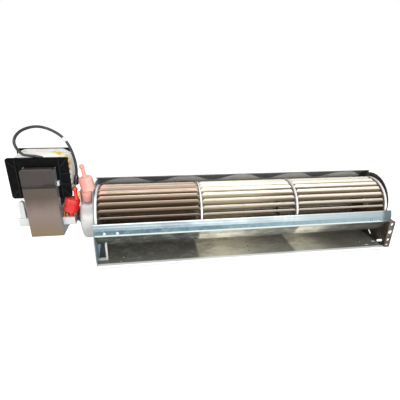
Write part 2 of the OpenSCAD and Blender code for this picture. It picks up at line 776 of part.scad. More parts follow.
// The bobbin: tube, two flanges with ribs and the raised frame round the core
module bobbin() {
  rib = 0.8;
  corner_r = 2.5;
  back_x1 = bobbin_x1 - 3;
  color("black") placed() difference() {
    union() {
      bobbin_plate(bobbin_x0, bobbin_x1, bobbin_z0, bobbin_z1, -bobbin_y, flange_t, corner_r);
      bobbin_plate(bobbin_x0 + 2, back_x1, bobbin_z0, bobbin_z1 + back_rise, flange_back_y, flange_t,
                   corner_r);
      translate([core_mid_x, bobbin_y, bar_z]) rotate([90, 0, 0]) linear_extrude(2 * bobbin_y)
        square([tube_w + 2 * tube_t, tube_h + 2 * tube_t], center = true);
      for (i = [-1, 1], j = [-1, 1])
        translate([bobbin_x + i * (bobbin_w / 2 - 4), -bobbin_y, bobbin_z + j * (bobbin_h / 2 - 5)])
          rotate([90, 0, 0]) linear_extrude(rib) rotate(i * j * 50) square([9, 0.9], center = true);
      for (x = [bobbin_x0 + 8, bobbin_x1 - 8]) front_rib(x, bobbin_z, 0.9, bobbin_h - 3, rib);
      for (z = [bobbin_z - 6, bobbin_z + 4]) front_rib(bobbin_x1 - 4.4, z, 7, 0.9, rib);
      for (k = [0 : 5]) translate([bobbin_x1 - 0.6, -bobbin_y, bobbin_z + 5 * k - 8])
        cube([1, flange_t, 1.6]);
    }
    translate([core_mid_x, 0, bar_z]) cube([tube_w, 2 * bobbin_y + 4, tube_h], center = true);
  }
}

// A rib on the front flange, from its centre
module front_rib(x, z, w, h, t) {
  translate([x, -bobbin_y, z]) rotate([90, 0, 0]) linear_extrude(t) square([w, h], center = true);
}

// The winding under its white tape, bulging past the front flange at the right and above
module taped_coil() {
  length = 2 * flange_back_y - 2 * fit;
  x0 = bobbin_x0 + coil_inset + 1;
  x1 = coil_x1;
  z0 = bobbin_z0 + coil_inset;
  z1 = bobbin_z1 + coil_rise;
  top_r = 36;
  color("white") placed() difference() {
    intersection() {
      translate([0, length / 2, 0]) rotate([90, 0, 0]) linear_extrude(length)
        coil_outline(x0, x1 + seat, z0, z1 + seat);
      along_x(x0 - 1, x1 - x0 + 2) translate([7, z1 - top_r]) circle(top_r, $fn = 180);
      translate([x1 - coil_side_r, coil_side_y, z0 - 1])
        cylinder(h = z1 - z0 + 2, r = coil_side_r, $fn = 240);
    }
    translate([core_mid_x, 0, bar_z])
      cube([tube_w + 2 * tube_t + 2 * fit, core_w, tube_h + 2 * tube_t + 2 * fit], center = true);
  }
}

// The taped coil seen from the front, with large upper shoulders
module coil_outline(x0, x1, z0, z1) {
  low_r = 6;
  top_r = 11;
  translate([x0 + low_r, z0]) square([x1 - x0 - 2 * low_r, low_r]);
  translate([x0, z0 + low_r]) square([x1 - x0, z1 - z0 - low_r - top_r]);
  translate([x0 + top_r, z1 - top_r]) square([x1 - x0 - 2 * top_r, top_r]);
  for (x = [x0 + low_r, x1 - low_r]) translate([x, z0 + low_r]) circle(low_r);
  for (x = [x0 + top_r, x1 - top_r]) translate([x, z1 - top_r]) circle(top_r);
}

// Copper rings through the pole corners, closed at both faces of the core
module shading_rings() {
  over = 1.2;
  link_t = 1.2;
  color("chocolate") placed() for (s = [-1, 1]) rotate([s == 1 ? 0 : 180, 0, 0]) {
    along_x(core_x0 - over, core_t + 2 * over) for (a = [shade_a - 11, shade_a + 11])
      rotate(a) translate([shade_r, 0]) square([shade_w, shade_t], center = true);
    for (x = [core_x0 - over, core_x1 + over]) along_x(x - link_t / 2, link_t) rotate(shade_a)
      translate([shade_r, 0]) square([shade_w, 3.5 * shade_w], center = true);
  }
}

// Turns a piece drawn for the core's right side to face the side s
module facing(s) {
  if (s > 0) children();
  else mirror([1, 0, 0]) children();
}

// A cast bridge with a bearing boss over the rotor's end, on the side s of the core
module bridge(s) {
  x_face = s > 0 ? core_x1 : core_x0;
  color("white") placed() translate([x_face, 0, 0]) facing(s) difference() {
    union() {
      along_x(0, bridge_reach) rounded(bridge_len, bridge_h, 1.5);
      rod_x(boss_r, pocket_d, bridge_reach - pocket_d);
      if (s < 0) outer_ear();
    }
    rod_x(bore_r + 1, -1, pocket_d + 1);
    rod_x(bearing_r + eps, pocket_d - 1, bearing_len + 1.2);
    rod_x(shaft_r + 0.6, 0, bridge_reach + 1);
    for (t = [-1, 1]) translate([0, t * screw_y, 0]) turned_x(0) polygon([
      [0, -1], [screw_r + fit, -1], [screw_r + fit, bridge_reach - screw_head_h],
      [screw_head_r + fit, bridge_reach], [screw_head_r + fit, bridge_reach + 1],
      [0, bridge_reach + 1]]);
    for (a = [shade_a, shade_a + 180]) rotate([a, 0, 0]) translate([-1, bore_r - 0.5, -4.2])
      cube([3.2, 4, 8.4]);
  }
}

// Ear that stands on the outer bridge, with a round top
module outer_ear() {
  r = outer_ear_w / 2;
  x = bridge_reach - outer_ear_w - 1.4;
  translate([x, -bridge_len / 2 + 2.2, 0]) cube([outer_ear_w, outer_ear_t, outer_ear_h - r]);
  translate([x + r, -bridge_len / 2 + 2.2 + outer_ear_t, outer_ear_h - r]) rotate([90, 0, 0])
    cylinder(h = outer_ear_t, r = r);
}

// A sintered bearing in a bridge, on the side s of the core
module motor_bearing(s) {
  x = s > 0 ? core_x1 + pocket_d + 0.1 : core_x0 - pocket_d - 0.1 - bearing_len;
  color("goldenrod") placed() along_x(x, bearing_len) difference() {
    circle(bearing_r);
    circle(shaft_r + run_clear);
  }
}

// Screws through both bridges and the core, with flush heads at both ends
module bridge_screws() {
  color("silver") placed() for (t = [-1, 1]) translate([0, t * screw_y, 0]) turned_x(0) polygon([
    [0, bridge_x0], [screw_head_r, bridge_x0], [screw_r, bridge_x0 + screw_head_h],
    [screw_r, bridge_x1 - screw_head_h], [screw_head_r, bridge_x1], [0, bridge_x1]]);
}

// FITTINGS

// A rubber isolator's body of radius r, from its foot upwards
module isolator_body(foot_r, foot_h, r) {
  rotate_extrude($fn = 64) polygon([
    [0, 0], [foot_r, 0], [foot_r, foot_h], [r - 0.6, foot_h], [r, foot_h + 0.6],
    [r, foot_h + iso_h - 1.5], [r - 1, foot_h + iso_h], [0, foot_h + iso_h]]);
}

// An isolator's tail with its ball, from where it meets the body's top
module isolator_tail(length) {
  waist = 1.7;
  rotate_extrude($fn = 64) polygon([
    [0, 0], [waist + 1, 0], [waist, 2.5], [waist, length - 1.2], [0, length - 1.2]]);
  translate([0, 0, length]) sphere(iso_ball_r, $fn = 32);
}

// Upper isolator, its foot on the cup's rim
module top_isolator() {
  foot_h = 1;
  body_z = cup_r + iso_foot_h - foot_h;
  color("lightpink") placed() difference() {
    union() {
      translate([top_iso[0], top_iso[1], cup_r - 3])
        cylinder(h = iso_foot_h + 2, r = iso_foot_r, $fn = 64);
      translate([top_iso[0] + 2.4, top_iso[1], body_z]) rotate([0, top_iso_lean, 0]) {
        isolator_body(3, foot_h, iso_r);
        translate([0, 0, foot_h + iso_h]) isolator_tail(iso_tail);
      }
    }
    rod_x(cup_r + seat, cup_x - iso_r, cup_depth + 2 * iso_r);
  }
}

// Lower isolator, its stem on the inner bridge and its tail beside the bobbin
module low_isolator() {
  stem_r = 1.8;
  foot_h = 1.6;
  tail_z = bridge_h / 2 + low_stem_h + iso_h;
  color("firebrick") placed() {
    translate([low_iso[0], low_iso[1], bridge_h / 2]) {
      cylinder(h = low_stem_h + 1, r = stem_r, $fn = 32);
      translate([0, 0, low_stem_h]) rotate([0, low_iso_lean, 0])
        isolator_body(stem_r - 0.3, foot_h, low_iso_r);
    }
    translate([low_tail_x, low_iso[1], tail_z]) isolator_tail(iso_tail);
  }
}

// Brass screws beside the isolators
module brass_screws() {
  head_h = 1.6;
  color("gold") placed() {
    for (p = [[-3.8, 0], [1.8, 4.2]]) translate([low_iso[0] + p[0], low_iso[1] + p[1], bridge_h / 2])
      cylinder(h = brass_h, r = 1, $fn = 24);
    translate([ear_x - head_h, top_iso[1], ear_screw_z]) rotate([0, 90, 0]) {
      cylinder(h = head_h, r = 3, $fn = 32);
      cylinder(h = head_h + sheet_t + 0.2, r = 1.5, $fn = 24);
    }
  }
}

// Sweeps a tube of radius r along the points, with its rings square to the route
function spline(p, i, t) =
  let (n = len(p) - 1, a = p[max(i - 1, 0)], b = p[i], c = p[min(i + 1, n)], d = p[min(i + 2, n)])
  0.5 * (2 * b + (c - a) * t + (2 * a - 5 * b + 4 * c - d) * t * t
         + (3 * b - a - 3 * c + d) * t * t * t);
function route(p, m) = concat([for (i = [0 : len(p) - 2], k = [0 : m - 1]) spline(p, i, k / m)],
                              [p[len(p) - 1]]);
function heading(q, i) = unit(q[max(i - 1, 0)], q[min(i + 1, len(q) - 1)]);
function tube_points(q, r, sides) = [for (i = [0 : len(q) - 1])
  let (h = heading(q, i), u = cross(h, [0, 1, 0]) / norm(cross(h, [0, 1, 0])), w = cross(h, u))
  for (k = [0 : sides - 1]) q[i] + r * (u * cos(360 * k / sides) + w * sin(360 * k / sides))];
function tube_faces(n, s) = concat(
  [[for (k = [0 : s - 1]) k]],
  [for (i = [0 : n - 2], k = [0 : s - 1])
    [i * s + k, (i + 1) * s + k, (i + 1) * s + (k + 1) % s, i * s + (k + 1) % s]],
  [[for (k = [s - 1 : -1 : 0]) (n - 1) * s + k]]);

module motor_lead() {
  q = route(lead_points, lead_rings_per_span);
  color("dimgray") placed()
    polyhedron(tube_points(q, lead_d / 2, lead_sides), tube_faces(len(q), lead_sides));
}

// Sleeve over the crimped end of the lead, pushed on the coil's terminal
module lead_sleeve() {
  color("black") placed() translate(lead_end) rotate([0, 180 + sleeve_lean, 0]) difference() {
    rotate_extrude($fn = 32)
      polygon([[0, 0], [lead_d / 2 + 0.4, 0], [sleeve_r, 2.5], [sleeve_r, sleeve_len], [0, sleeve_len]]);
    translate([0, 0, sleeve_len - 5]) cylinder(h = 6, r = 1.5, $fn = 24);
  }
}

// Brass tab from the coil's side, turned up into the sleeve
module coil_terminal() {
  pin_w = 1.8;
  pin_t = 0.8;
  side_y = lead_end[1] + pin_w / 2 - coil_side_y;
  x0 = coil_x1 - coil_side_r + sqrt(pow(coil_side_r, 2) - pow(side_y, 2)) + 0.05;
  foot_z = lead_end[2] - sleeve_len - 1.4;
  pin_x = lead_end[0] - sleeve_len * sin(sleeve_lean);
  color("goldenrod") placed() translate([0, lead_end[1] - pin_w / 2, 0]) {
    translate([x0, 0, foot_z]) cube([pin_x + pin_t / 2 - x0, pin_w, pin_t]);
    translate([pin_x - pin_t / 2, 0, foot_z]) cube([pin_t, pin_w, 5.4]);
    translate([x0, 0, foot_z]) cube([pin_t, pin_w, 3]);
  }
}

// PIECES DRAWN

scroll_wall();
tongue_rail();
left_end_plate();
right_end_plate();
outlet_bracket();
motor_cup();
tail_bearing();
tail_bearing_rubber();
housing_rivets();
stator_core();
coil_bar();
bobbin();
taped_coil();
shading_rings();
bridge(1);  // inner_bridge
bridge(-1);  // outer_bridge
motor_bearing(1);  // inner_bearing
motor_bearing(-1);  // outer_bearing
bridge_screws();
top_isolator();
low_isolator();
brass_screws();
coil_terminal();
lead_sleeve();
motor_lead();
wheel_left_disc();
wheel_right_disc();
drive_hub();
rotor_shaft();
rotor_core();
tail_pin();
for (i = [1 : bay_count - 1])
  wheel_ring(i);
for (k = [0 : blade_count - 1])
  blade(k);
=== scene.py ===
import math
from functools import reduce

import bmesh
import bpy
from bpy.props import FloatProperty, FloatVectorProperty, PointerProperty
from mathutils import Matrix, Vector


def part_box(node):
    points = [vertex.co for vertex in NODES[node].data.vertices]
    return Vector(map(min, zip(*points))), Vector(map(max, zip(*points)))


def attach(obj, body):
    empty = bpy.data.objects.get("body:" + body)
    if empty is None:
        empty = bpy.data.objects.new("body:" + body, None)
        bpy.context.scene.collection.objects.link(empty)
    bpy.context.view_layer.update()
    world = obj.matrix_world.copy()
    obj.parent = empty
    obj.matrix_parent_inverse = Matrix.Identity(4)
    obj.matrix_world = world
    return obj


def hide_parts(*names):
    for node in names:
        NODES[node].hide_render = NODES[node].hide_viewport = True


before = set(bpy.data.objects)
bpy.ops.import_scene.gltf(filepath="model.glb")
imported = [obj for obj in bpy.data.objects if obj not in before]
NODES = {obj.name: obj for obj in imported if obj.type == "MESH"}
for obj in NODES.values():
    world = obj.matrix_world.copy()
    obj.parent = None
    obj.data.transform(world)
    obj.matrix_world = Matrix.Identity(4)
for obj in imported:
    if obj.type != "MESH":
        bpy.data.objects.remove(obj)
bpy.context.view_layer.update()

bl_info = {
    "name": "Tangential Blower Looks",
    "version": (1, 0, 0),
    "blender": (4, 5, 0),
    "location": "View3D > Sidebar > Blower",
    "description": "Dresses the packed blower: finishes, taped coil, lead and studio",
    "category": "Object",
}

# The wheel's axis in the row frame: X of the left disc, Y and Z of the axis, in metres
WHEEL_AXIS = Vector((-0.1179, -0.00135, 0.0434))
MM = 0.001


def at(x, y, z):
    """A point given in millimetres about the wheel's axis, in the row frame."""
    return WHEEL_AXIS + Vector((x, y, z)) * MM


def tint(red, green, blue):
    """A colour written from 0 to 255, as the linear values that shaders take."""
    return tuple((c / 255) ** 2.2 for c in (red, green, blue))


# settings


def size(name, default, low, high, description):
    return FloatProperty(name=name, description=description, default=default,
                         min=low, max=high, unit="LENGTH", subtype="DISTANCE", precision=5)


def strength(name, default, description):
    return FloatProperty(name=name, description=description, default=default,
                         min=0.0, max=2.0, subtype="FACTOR")


def power(name, default, description):
    return FloatProperty(name=name, description=description, default=default,
                         min=0.0, max=50.0, unit="POWER")


def colour(name, default, description):
    return FloatVectorProperty(name=name, description=description, default=default,
                               size=3, min=0.0, max=1.0, subtype="COLOR")


class BlowerSizes(bpy.types.PropertyGroup):
    """Sizes of the pieces that are modelled here."""

    lead_diameter: size("Lead diameter", 2.5 * MM, 2 * MM, 4 * MM, "Diameter of the motor lead")
    marker_length: size("Marker length", 3.4 * MM, 2 * MM, 8 * MM,
                        "Length of the marker on the lead")
    tape_thickness: size("Tape thickness", 0.22 * MM, 0.1 * MM, 0.5 * MM, "Thickness of the tape")


class BlowerColours(bpy.types.PropertyGroup):
    """Colours of the finishes."""

    blade: colour("Blades", tint(250, 243, 228), "Bright outer bands of the blades")
    # Painted shade: the brown of the blades' inner bands and the discs' inner rims, where the
    # wheel's inside lies in shade
    blade_root_shade: colour("Blade root shade", tint(98, 78, 55), "Brown inner bands of the blades")
    wheel: colour("Rings and discs", tint(246, 246, 244), "Bright cut sheet of rings and discs")
    zinc_dark: colour("Zinc, dark", tint(130, 133, 131), "Dark flakes of the galvanised sheet")
    zinc_light: colour("Zinc, light", tint(172, 175, 172), "Light flakes of the galvanised sheet")
    rail_dark: colour("Rail, dark", tint(76, 102, 112), "Dark streaks of the rail's upright band")
    rail_light: colour("Rail, light", tint(120, 146, 156),
                       "Light streaks of the rail's upright band")
    # Painted highlight: the white of the floor's front fold and the lip's face, where they catch
    # the light
    edge: colour("Edge highlights", tint(244, 246, 246), "Cut and folded edges of the sheets")
    # Painted shade on the sheet of the outlet's floor
    shadow: colour("Sheet in shade", tint(112, 112, 105), "Sheet under the tongue and on the floor")
    bar: colour("Coil bar", tint(66, 60, 57), "Varnished steel of the bar")
    core_top: colour("Core, top", tint(84, 73, 64), "Varnished steel below the bar")
    core_middle: colour("Core, middle", tint(132, 117, 109), "Varnished steel at mid-height")
    core_low: colour("Core, low", tint(128, 111, 90), "Varnished steel at the foot")
    core_face: colour("Core faces", tint(128, 138, 142), "Bare faces of the stack")
    bobbin: colour("Bobbin", tint(6, 5, 7), "Black plastic of the bobbin")
    tape: colour("Coil tape", tint(255, 254, 250), "White tape round the coil")
    tape_stain: colour("Tape stain", tint(250, 200, 50), "Yellowed patches of the tape")
    pink: colour("Upper isolator", tint(252, 164, 150), "Pale silicone")
    red: colour("Lower isolator", tint(228, 40, 38), "Red silicone")
    cast: colour("Bridges", tint(216, 217, 217), "Die-cast bridges")
    brass: colour("Brass", tint(206, 160, 84), "Turned brass")
    lead: colour("Lead", tint(26, 28, 33), "Insulation of the lead")


class BlowerStage(bpy.types.PropertyGroup):
    """Camera and light."""

    lens: FloatProperty(name="Lens", description="Focal length on a 36 mm sensor", default=28.04,
                        min=15.0, max=200.0, subtype="DISTANCE_CAMERA")
    key_power: power("Key lamp", 2.9, "Power of the lamp overhead")
    fill_power: power("Fill lamp", 5.6, "Power of the lamp in front")
    strip_power: power("Strip lamp", 0.35, "Power of the narrow lamp at the right")
    ambient: strength("Ambient light", 0.24, "Level of the plain light from all round")
    floor_glow: strength("Floor glow", 0.8, "Level added to the floor where it is seen")


# node helpers


def link(tree, source, target):
    tree.links.new(source, target)


def new_node(tree, kind, **values):
    """Adds a node, with its settings and the values of its inputs by name."""
    node = tree.nodes.new(kind)
    for name, value in values.items():
        if hasattr(node, name):
            setattr(node, name, value)
        else:
            node.inputs[name.replace("_", " ")].default_value = value
    return node


def bare_tree(owner):
    """The node tree of a material or world, turned on and emptied."""
    owner.use_nodes = True
    owner.node_tree.nodes.clear()
    return owner.node_tree


def arithmetic(tree, operation, first, second=0.0):
    """A Math node on sockets or numbers, as its output."""
    node = new_node(tree, "ShaderNodeMath", operation=operation)
    for socket, value in zip(node.inputs, (first, second)):
        if isinstance(value, (int, float)):
            socket.default_value = value
        else:
            link(tree, value, socket)
    return node.outputs[0]


def plus(tree, *values):
    """The sum of sockets and numbers, as an output."""
    return reduce(lambda first, second: arithmetic(tree, "ADD", first, second), values)


def minus(tree, first, second):
    return arithmetic(tree, "SUBTRACT", first, second)


def times(tree, *values):
    """The product of sockets and numbers, as an output. For masks: where all of them hold."""
    return reduce(lambda first, second: arithmetic(tree, "MULTIPLY", first, second), values)


def blend_colours(tree, factor, first, second, mode="MIX"):
    """A colour Mix node on sockets or colours, as its output."""
    node = new_node(tree, "ShaderNodeMix", data_type="RGBA", blend_type=mode)
    inputs = node.inputs
    for socket, value in ((inputs[0], factor), (inputs[6], first), (inputs[7], second)):
        if isinstance(value, (int, float)):
            socket.default_value = value
        elif isinstance(value, bpy.types.NodeSocket):
            link(tree, value, socket)
        else:
            socket.default_value = (*value, 1.0)
    return node.outputs[2]


def noise(tree, vector, scale, detail=3.0, roughness=0.55):
    node = new_node(tree, "ShaderNodeTexNoise", Scale=scale, Detail=detail, Roughness=roughness)
    link(tree, vector, node.inputs["Vector"])
    return node.outputs["Fac"]


def stretched(tree, vector, scale):
    """Coordinates scaled apart on each axis, for a pattern that runs one way."""
    node = new_node(tree, "ShaderNodeMapping", Scale=scale)
    link(tree, vector, node.inputs["Vector"])
    return node.outputs["Vector"]


def split(tree, vector):
    """X, Y and Z of a vector, as outputs."""
    node = new_node(tree, "ShaderNodeSeparateXYZ")
    link(tree, vector, node.inputs[0])
    return node.outputs[0], node.outputs[1], node.outputs[2]


def between(tree, value, low, high, new_low=0.0, new_high=1.0):
    """Maps a value's range low to high onto new_low to new_high."""
    node = new_node(tree, "ShaderNodeMapRange", interpolation_type="SMOOTHSTEP", From_Min=low,
                    From_Max=high, To_Min=new_low, To_Max=new_high)
    link(tree, value, node.inputs["Value"])
    return node.outputs["Result"]


def below(tree, value, low, high):
    """A mask that is 1 below low and 0 above high."""
    return between(tree, value, low, high, 1.0, 0.0)


def band(tree, value, low, high, soft=0.4):
    """A mask that is 1 between low and high, with soft ends."""
    return times(tree, between(tree, value, low - soft / 2, low + soft / 2),
                 below(tree, value, high - soft / 2, high + soft / 2))


def shaded(tree, tone, level):
    """A colour made darker or lighter by a level, as an output."""
    grey = new_node(tree, "ShaderNodeCombineColor")
    for socket in grey.inputs[:3]:
        link(tree, level, socket)
    return blend_colours(tree, 1.0, tone, grey.outputs[0], "MULTIPLY")


def distance(tree, place, point):
    """How far each surface point lies from one point, in metres."""
    away = new_node(tree, "ShaderNodeVectorMath", operation="DISTANCE")
    link(tree, place, away.inputs[0])
    away.inputs[1].default_value = point
    return away.outputs["Value"]


def object_place(tree):
    """A surface point in its object's own coordinates, as an output."""
    return new_node(tree, "ShaderNodeTexCoord").outputs["Object"]


def wheel_place(tree):
    """X, Y and Z of a surface point in millimetres about the wheel's axis, at rest."""
    about = new_node(tree, "ShaderNodeVectorMath", operation="SUBTRACT")
    link(tree, object_place(tree), about.inputs[0])
    about.inputs[1].default_value = WHEEL_AXIS
    scaled = new_node(tree, "ShaderNodeVectorMath", operation="SCALE", Scale=1 / MM)
    link(tree, about.outputs[0], scaled.inputs[0])
    return split(tree, scaled.outputs[0])


def facing(tree):
    """How far a surface faces along X, Y and Z of its object, each from -1 to 1."""
    return split(tree, new_node(tree, "ShaderNodeTexCoord").outputs["Normal"])


def seen_rays(tree):
    """1 for rays of camera, mirror and glass, 0 for those that only carry light."""
    path = new_node(tree, "ShaderNodeLightPath")
    shown = arithmetic(tree, "MAXIMUM", path.outputs["Is Camera Ray"],
                       path.outputs["Is Glossy Ray"])
    return arithmetic(tree, "MAXIMUM", shown, path.outputs["Is Transmission Ray"])


# finish groups


COLOUR, NUMBER, VECTOR = "NodeSocketColor", "NodeSocketFloat", "NodeSocketVector"
SPECK_TONE, PLAIN_LEVEL = (0.75, 0.73, 0.68), 0.94


def new_group(name, inputs):
    """A node group that puts out colour, roughness and height, with its two ends' sockets."""
    group = bpy.data.node_groups.new(name, "ShaderNodeTree")
    for label, kind, value in inputs:
        socket = group.interface.new_socket(name=label, in_out="INPUT", socket_type=kind)
        if value is not None:
            socket.default_value = value
    for label, kind in (("Colour", COLOUR), ("Roughness", NUMBER), ("Height", NUMBER)):
        group.interface.new_socket(name=label, in_out="OUTPUT", socket_type=kind)
    entry = group.nodes.new("NodeGroupInput")
    leave = group.nodes.new("NodeGroupOutput")
    return group, entry.outputs, leave.inputs


def zinc_group():
    """Galvanised sheet: faint flakes, rolling streaks along X, smears and a slow wave."""
    group, put, out = new_group(
        "Zinc Sheet",
        [("Coordinates", VECTOR, None),
         ("Dark", COLOUR, (0.2, 0.2, 0.2, 1.0)),
         ("Light", COLOUR, (0.4, 0.4, 0.4, 1.0)),
         ("Flake Size", NUMBER, 180.0),
         ("Streaks", NUMBER, 0.5),
         ("Base Roughness", NUMBER, 0.35)])
    flakes = new_node(group, "ShaderNodeTexVoronoi", feature="F1")
    link(group, put["Coordinates"], flakes.inputs["Vector"])
    link(group, put["Flake Size"], flakes.inputs["Scale"])
    flake = new_node(group, "ShaderNodeSeparateColor")
    link(group, flakes.outputs["Color"], flake.inputs["Color"])
    streak = noise(group, stretched(group, put["Coordinates"], (12, 700, 700)), 1.0, 4.0)
    smear = noise(group, stretched(group, put["Coordinates"], (26, 60, 60)), 1.0, 3.0)
    streak = times(group, minus(group, streak, 0.5), put["Streaks"])
    level = plus(group, times(group, flake.outputs[0], 0.6),
                 between(group, smear, 0.3, 0.7, 0.0, 0.3), streak)
    link(group, blend_colours(group, level, put["Dark"], put["Light"]), out["Colour"])
    rough = plus(group, put["Base Roughness"],
                 times(group, between(group, smear, 0.35, 0.7), 0.14),
                 times(group, flake.outputs[1], 0.06))
    link(group, rough, out["Roughness"])
    wave = noise(group, stretched(group, put["Coordinates"], (22, 10, 10)), 1.0, 1.0)
    link(group, plus(group, wave, times(group, streak, 0.03)), out["Height"])
    return group


def graded_group():
    """Varnished stacked steel: three shades by height, bare faces, sheet lines and pale specks."""
    group, put, out = new_group(
        "Graded Steel",
        [("Coordinates", VECTOR, None),
         ("Facing", VECTOR, None),
         ("Top", COLOUR, (0.1, 0.1, 0.1, 1.0)),
         ("Middle", COLOUR, (0.3, 0.3, 0.3, 1.0)),
         ("Low", COLOUR, (0.2, 0.2, 0.2, 1.0)),
         ("Face", COLOUR, (0.3, 0.3, 0.3, 1.0)),
         ("Low Height", NUMBER, 0.03),
         ("Middle Height", NUMBER, 0.05),
         ("Top Height", NUMBER, 0.08),
         ("Base Roughness", NUMBER, 0.35)])
    wander = noise(group, stretched(group, put["Coordinates"], (60, 60, 30)), 1.0, 2.0)
    height = plus(group, split(group, put["Coordinates"])[2],
                  times(group, minus(group, wander, 0.5), 0.012))
    lower = new_node(group, "ShaderNodeMapRange", interpolation_type="SMOOTHSTEP")
    upper = new_node(group, "ShaderNodeMapRange", interpolation_type="SMOOTHSTEP")
    for node, start, stop in ((lower, "Low Height", "Middle Height"),
                              (upper, "Middle Height", "Top Height")):
        link(group, height, node.inputs["Value"])
        link(group, put[start], node.inputs["From Min"])
        link(group, put[stop], node.inputs["From Max"])
    shade = blend_colours(group, lower.outputs["Result"], put["Low"], put["Middle"])
    shade = blend_colours(group, upper.outputs["Result"], shade, put["Top"])
    bare = arithmetic(group, "ABSOLUTE", split(group, put["Facing"])[0])
    shade = blend_colours(group, between(group, bare, 0.7, 0.9), shade, put["Face"])
    lines = noise(group, stretched(group, put["Coordinates"], (2600, 40, 40)), 1.0, 2.0)
    specks = noise(group, put["Coordinates"], 900.0, 2.0)
    speck = times(group, between(group, specks, 0.74, 0.8), 0.55)
    shade = blend_colours(group, speck, shade, SPECK_TONE)
    level = plus(group, PLAIN_LEVEL, times(group, lines, 0.12))
    link(group, shaded(group, shade, level), out["Colour"])
    rough = plus(group, put["Base Roughness"], times(group, wander, 0.12))
    link(group, rough, out["Roughness"])
    link(group, lines, out["Height"])
    return group


def rolled_group():
    """Bare rolled or drawn metal: fine lines that run along X, and finger-dull patches."""
    group, put, out = new_group(
        "Rolled Metal",
        [("Coordinates", VECTOR, None),
         ("Colour", COLOUR, (0.6, 0.6, 0.6, 1.0)),
         ("Line Scale", VECTOR, (20.0, 900.0, 900.0)),
         ("Contrast", NUMBER, 0.25),
         ("Base Roughness", NUMBER, 0.3)])
    lines = new_node(group, "ShaderNodeVectorMath", operation="MULTIPLY")
    link(group, put["Coordinates"], lines.inputs[0])
    link(group, put["Line Scale"], lines.inputs[1])
    fine = noise(group, lines.outputs[0], 1.0, 5.0, 0.65)
    patch = noise(group, put["Coordinates"], 90.0, 3.0)
    swing = times(group, minus(group, fine, 0.5), put["Contrast"])
    level = minus(group, plus(group, PLAIN_LEVEL, swing),
                  times(group, between(group, patch, 0.5, 0.75), 0.14))
    link(group, shaded(group, put["Colour"], level), out["Colour"])
    rough = plus(group, put["Base Roughness"],
                 times(group, between(group, patch, 0.4, 0.75), 0.12), times(group, swing, 0.3))
    link(group, rough, out["Roughness"])
    link(group, fine, out["Height"])
    return group


def speckle_group():
    """Moulded or cast skin: fine grain, specks of dust and slow changes of shade."""
    group, put, out = new_group(
        "Moulded Skin",
        [("Coordinates", VECTOR, None),
         ("Colour", COLOUR, (0.5, 0.5, 0.5, 1.0)),
         ("Dust Colour", COLOUR, (0.6, 0.57, 0.52, 1.0)),
         ("Dust", NUMBER, 0.3),
         ("Grain Scale", NUMBER, 2500.0),
         ("Base Roughness", NUMBER, 0.5)])
    grain = new_node(group, "ShaderNodeTexNoise", Detail=4.0)
    link(group, put["Coordinates"], grain.inputs["Vector"])
    link(group, put["Grain Scale"], grain.inputs["Scale"])
    cloud = noise(group, put["Coordinates"], 140.0, 3.0)
    specks = noise(group, put["Coordinates"], 1400.0, 2.0)
    dust = plus(group, times(group, between(group, cloud, 0.45, 0.75), put["Dust"]),
                times(group, between(group, specks, 0.66, 0.76), put["Dust"]))
    link(group, blend_colours(group, dust, put["Colour"], put["Dust Colour"]), out["Colour"])
    rough = plus(group, put["Base Roughness"], times(group, dust, 0.4))
    link(group, rough, out["Roughness"])
    link(group, grain.outputs["Fac"], out["Height"])
    return group


GROUP_NAMES = {zinc_group: "Zinc Sheet", graded_group: "Graded Steel",
               rolled_group: "Rolled Metal", speckle_group: "Moulded Skin"}


def place_group(tree, maker):
    """Places one of the groups on Object coordinates, built when it is first asked for."""
    node = new_node(tree, "ShaderNodeGroup")
    node.node_tree = bpy.data.node_groups.get(GROUP_NAMES[maker]) or maker()
    where = new_node(tree, "ShaderNodeTexCoord")
    link(tree, where.outputs["Object"], node.inputs["Coordinates"])
    if "Facing" in node.inputs:
        link(tree, where.outputs["Normal"], node.inputs["Facing"])
    return node


def finish(name, maker, bump=0.0, depth=0.05 * MM, **values):
    """A material: a Principled shader fed by one of the groups. Each value goes to the input of
    its name, on the group or else on the shader."""
    material = bpy.data.materials.new(name)
    tree = bare_tree(material)
    surface = new_node(tree, "ShaderNodeOutputMaterial")
    shader = new_node(tree, "ShaderNodeBsdfPrincipled")
    link(tree, shader.outputs[0], surface.inputs["Surface"])
    pattern = place_group(tree, maker)
    for label, value in values.items():
        label = label.replace("_", " ")
        socket = (pattern if label in pattern.inputs else shader).inputs[label]
        socket.default_value = (*value, 1.0) if socket.type == "RGBA" else value
    link(tree, pattern.outputs["Colour"], shader.inputs["Base Color"])
    link(tree, pattern.outputs["Roughness"], shader.inputs["Roughness"])
    if bump:
        relief = new_node(tree, "ShaderNodeBump", Strength=bump, Distance=depth)
        link(tree, pattern.outputs["Height"], relief.inputs["Height"])
        link(tree, relief.outputs["Normal"], shader.inputs["Normal"])
    return material


def paint(material, *names):
    for name in names:
        slots = NODES[name].data.materials
        slots.clear()
        slots.append(material)


def shader_of(material):
    return next(node for node in material.node_tree.nodes if node.type == "BSDF_PRINCIPLED")


def overlay(material, mask, tone, amount=1.0):
    """Lays a colour over a material's own where the mask says."""
    tree = material.node_tree
    socket = shader_of(material).inputs["Base Color"]
    under = socket.links[0].from_socket
    if amount < 1:
        mask = times(tree, mask, amount)
    link(tree, blend_colours(tree, mask, under, tuple(tone)), socket)


def shade_along(material, *rows):
    """Shades that grow along an axis: axis, where one starts, where it is full, tone, strength."""
    tree = material.node_tree
    place = wheel_place(tree)
    for axis, start, full, tone, amount in rows:
        value = place["XYZ".index(axis)]
        if start < full:
            mask = between(tree, value, start, full)
        else:
            mask = below(tree, value, full, start)
        overlay(material, mask, tone, amount)


# mesh helpers


def new_object(name, data):
    """Makes an object of its data and puts it in the scene."""
    obj = bpy.data.objects.new(name, data)
    bpy.context.scene.collection.objects.link(obj)
    return obj


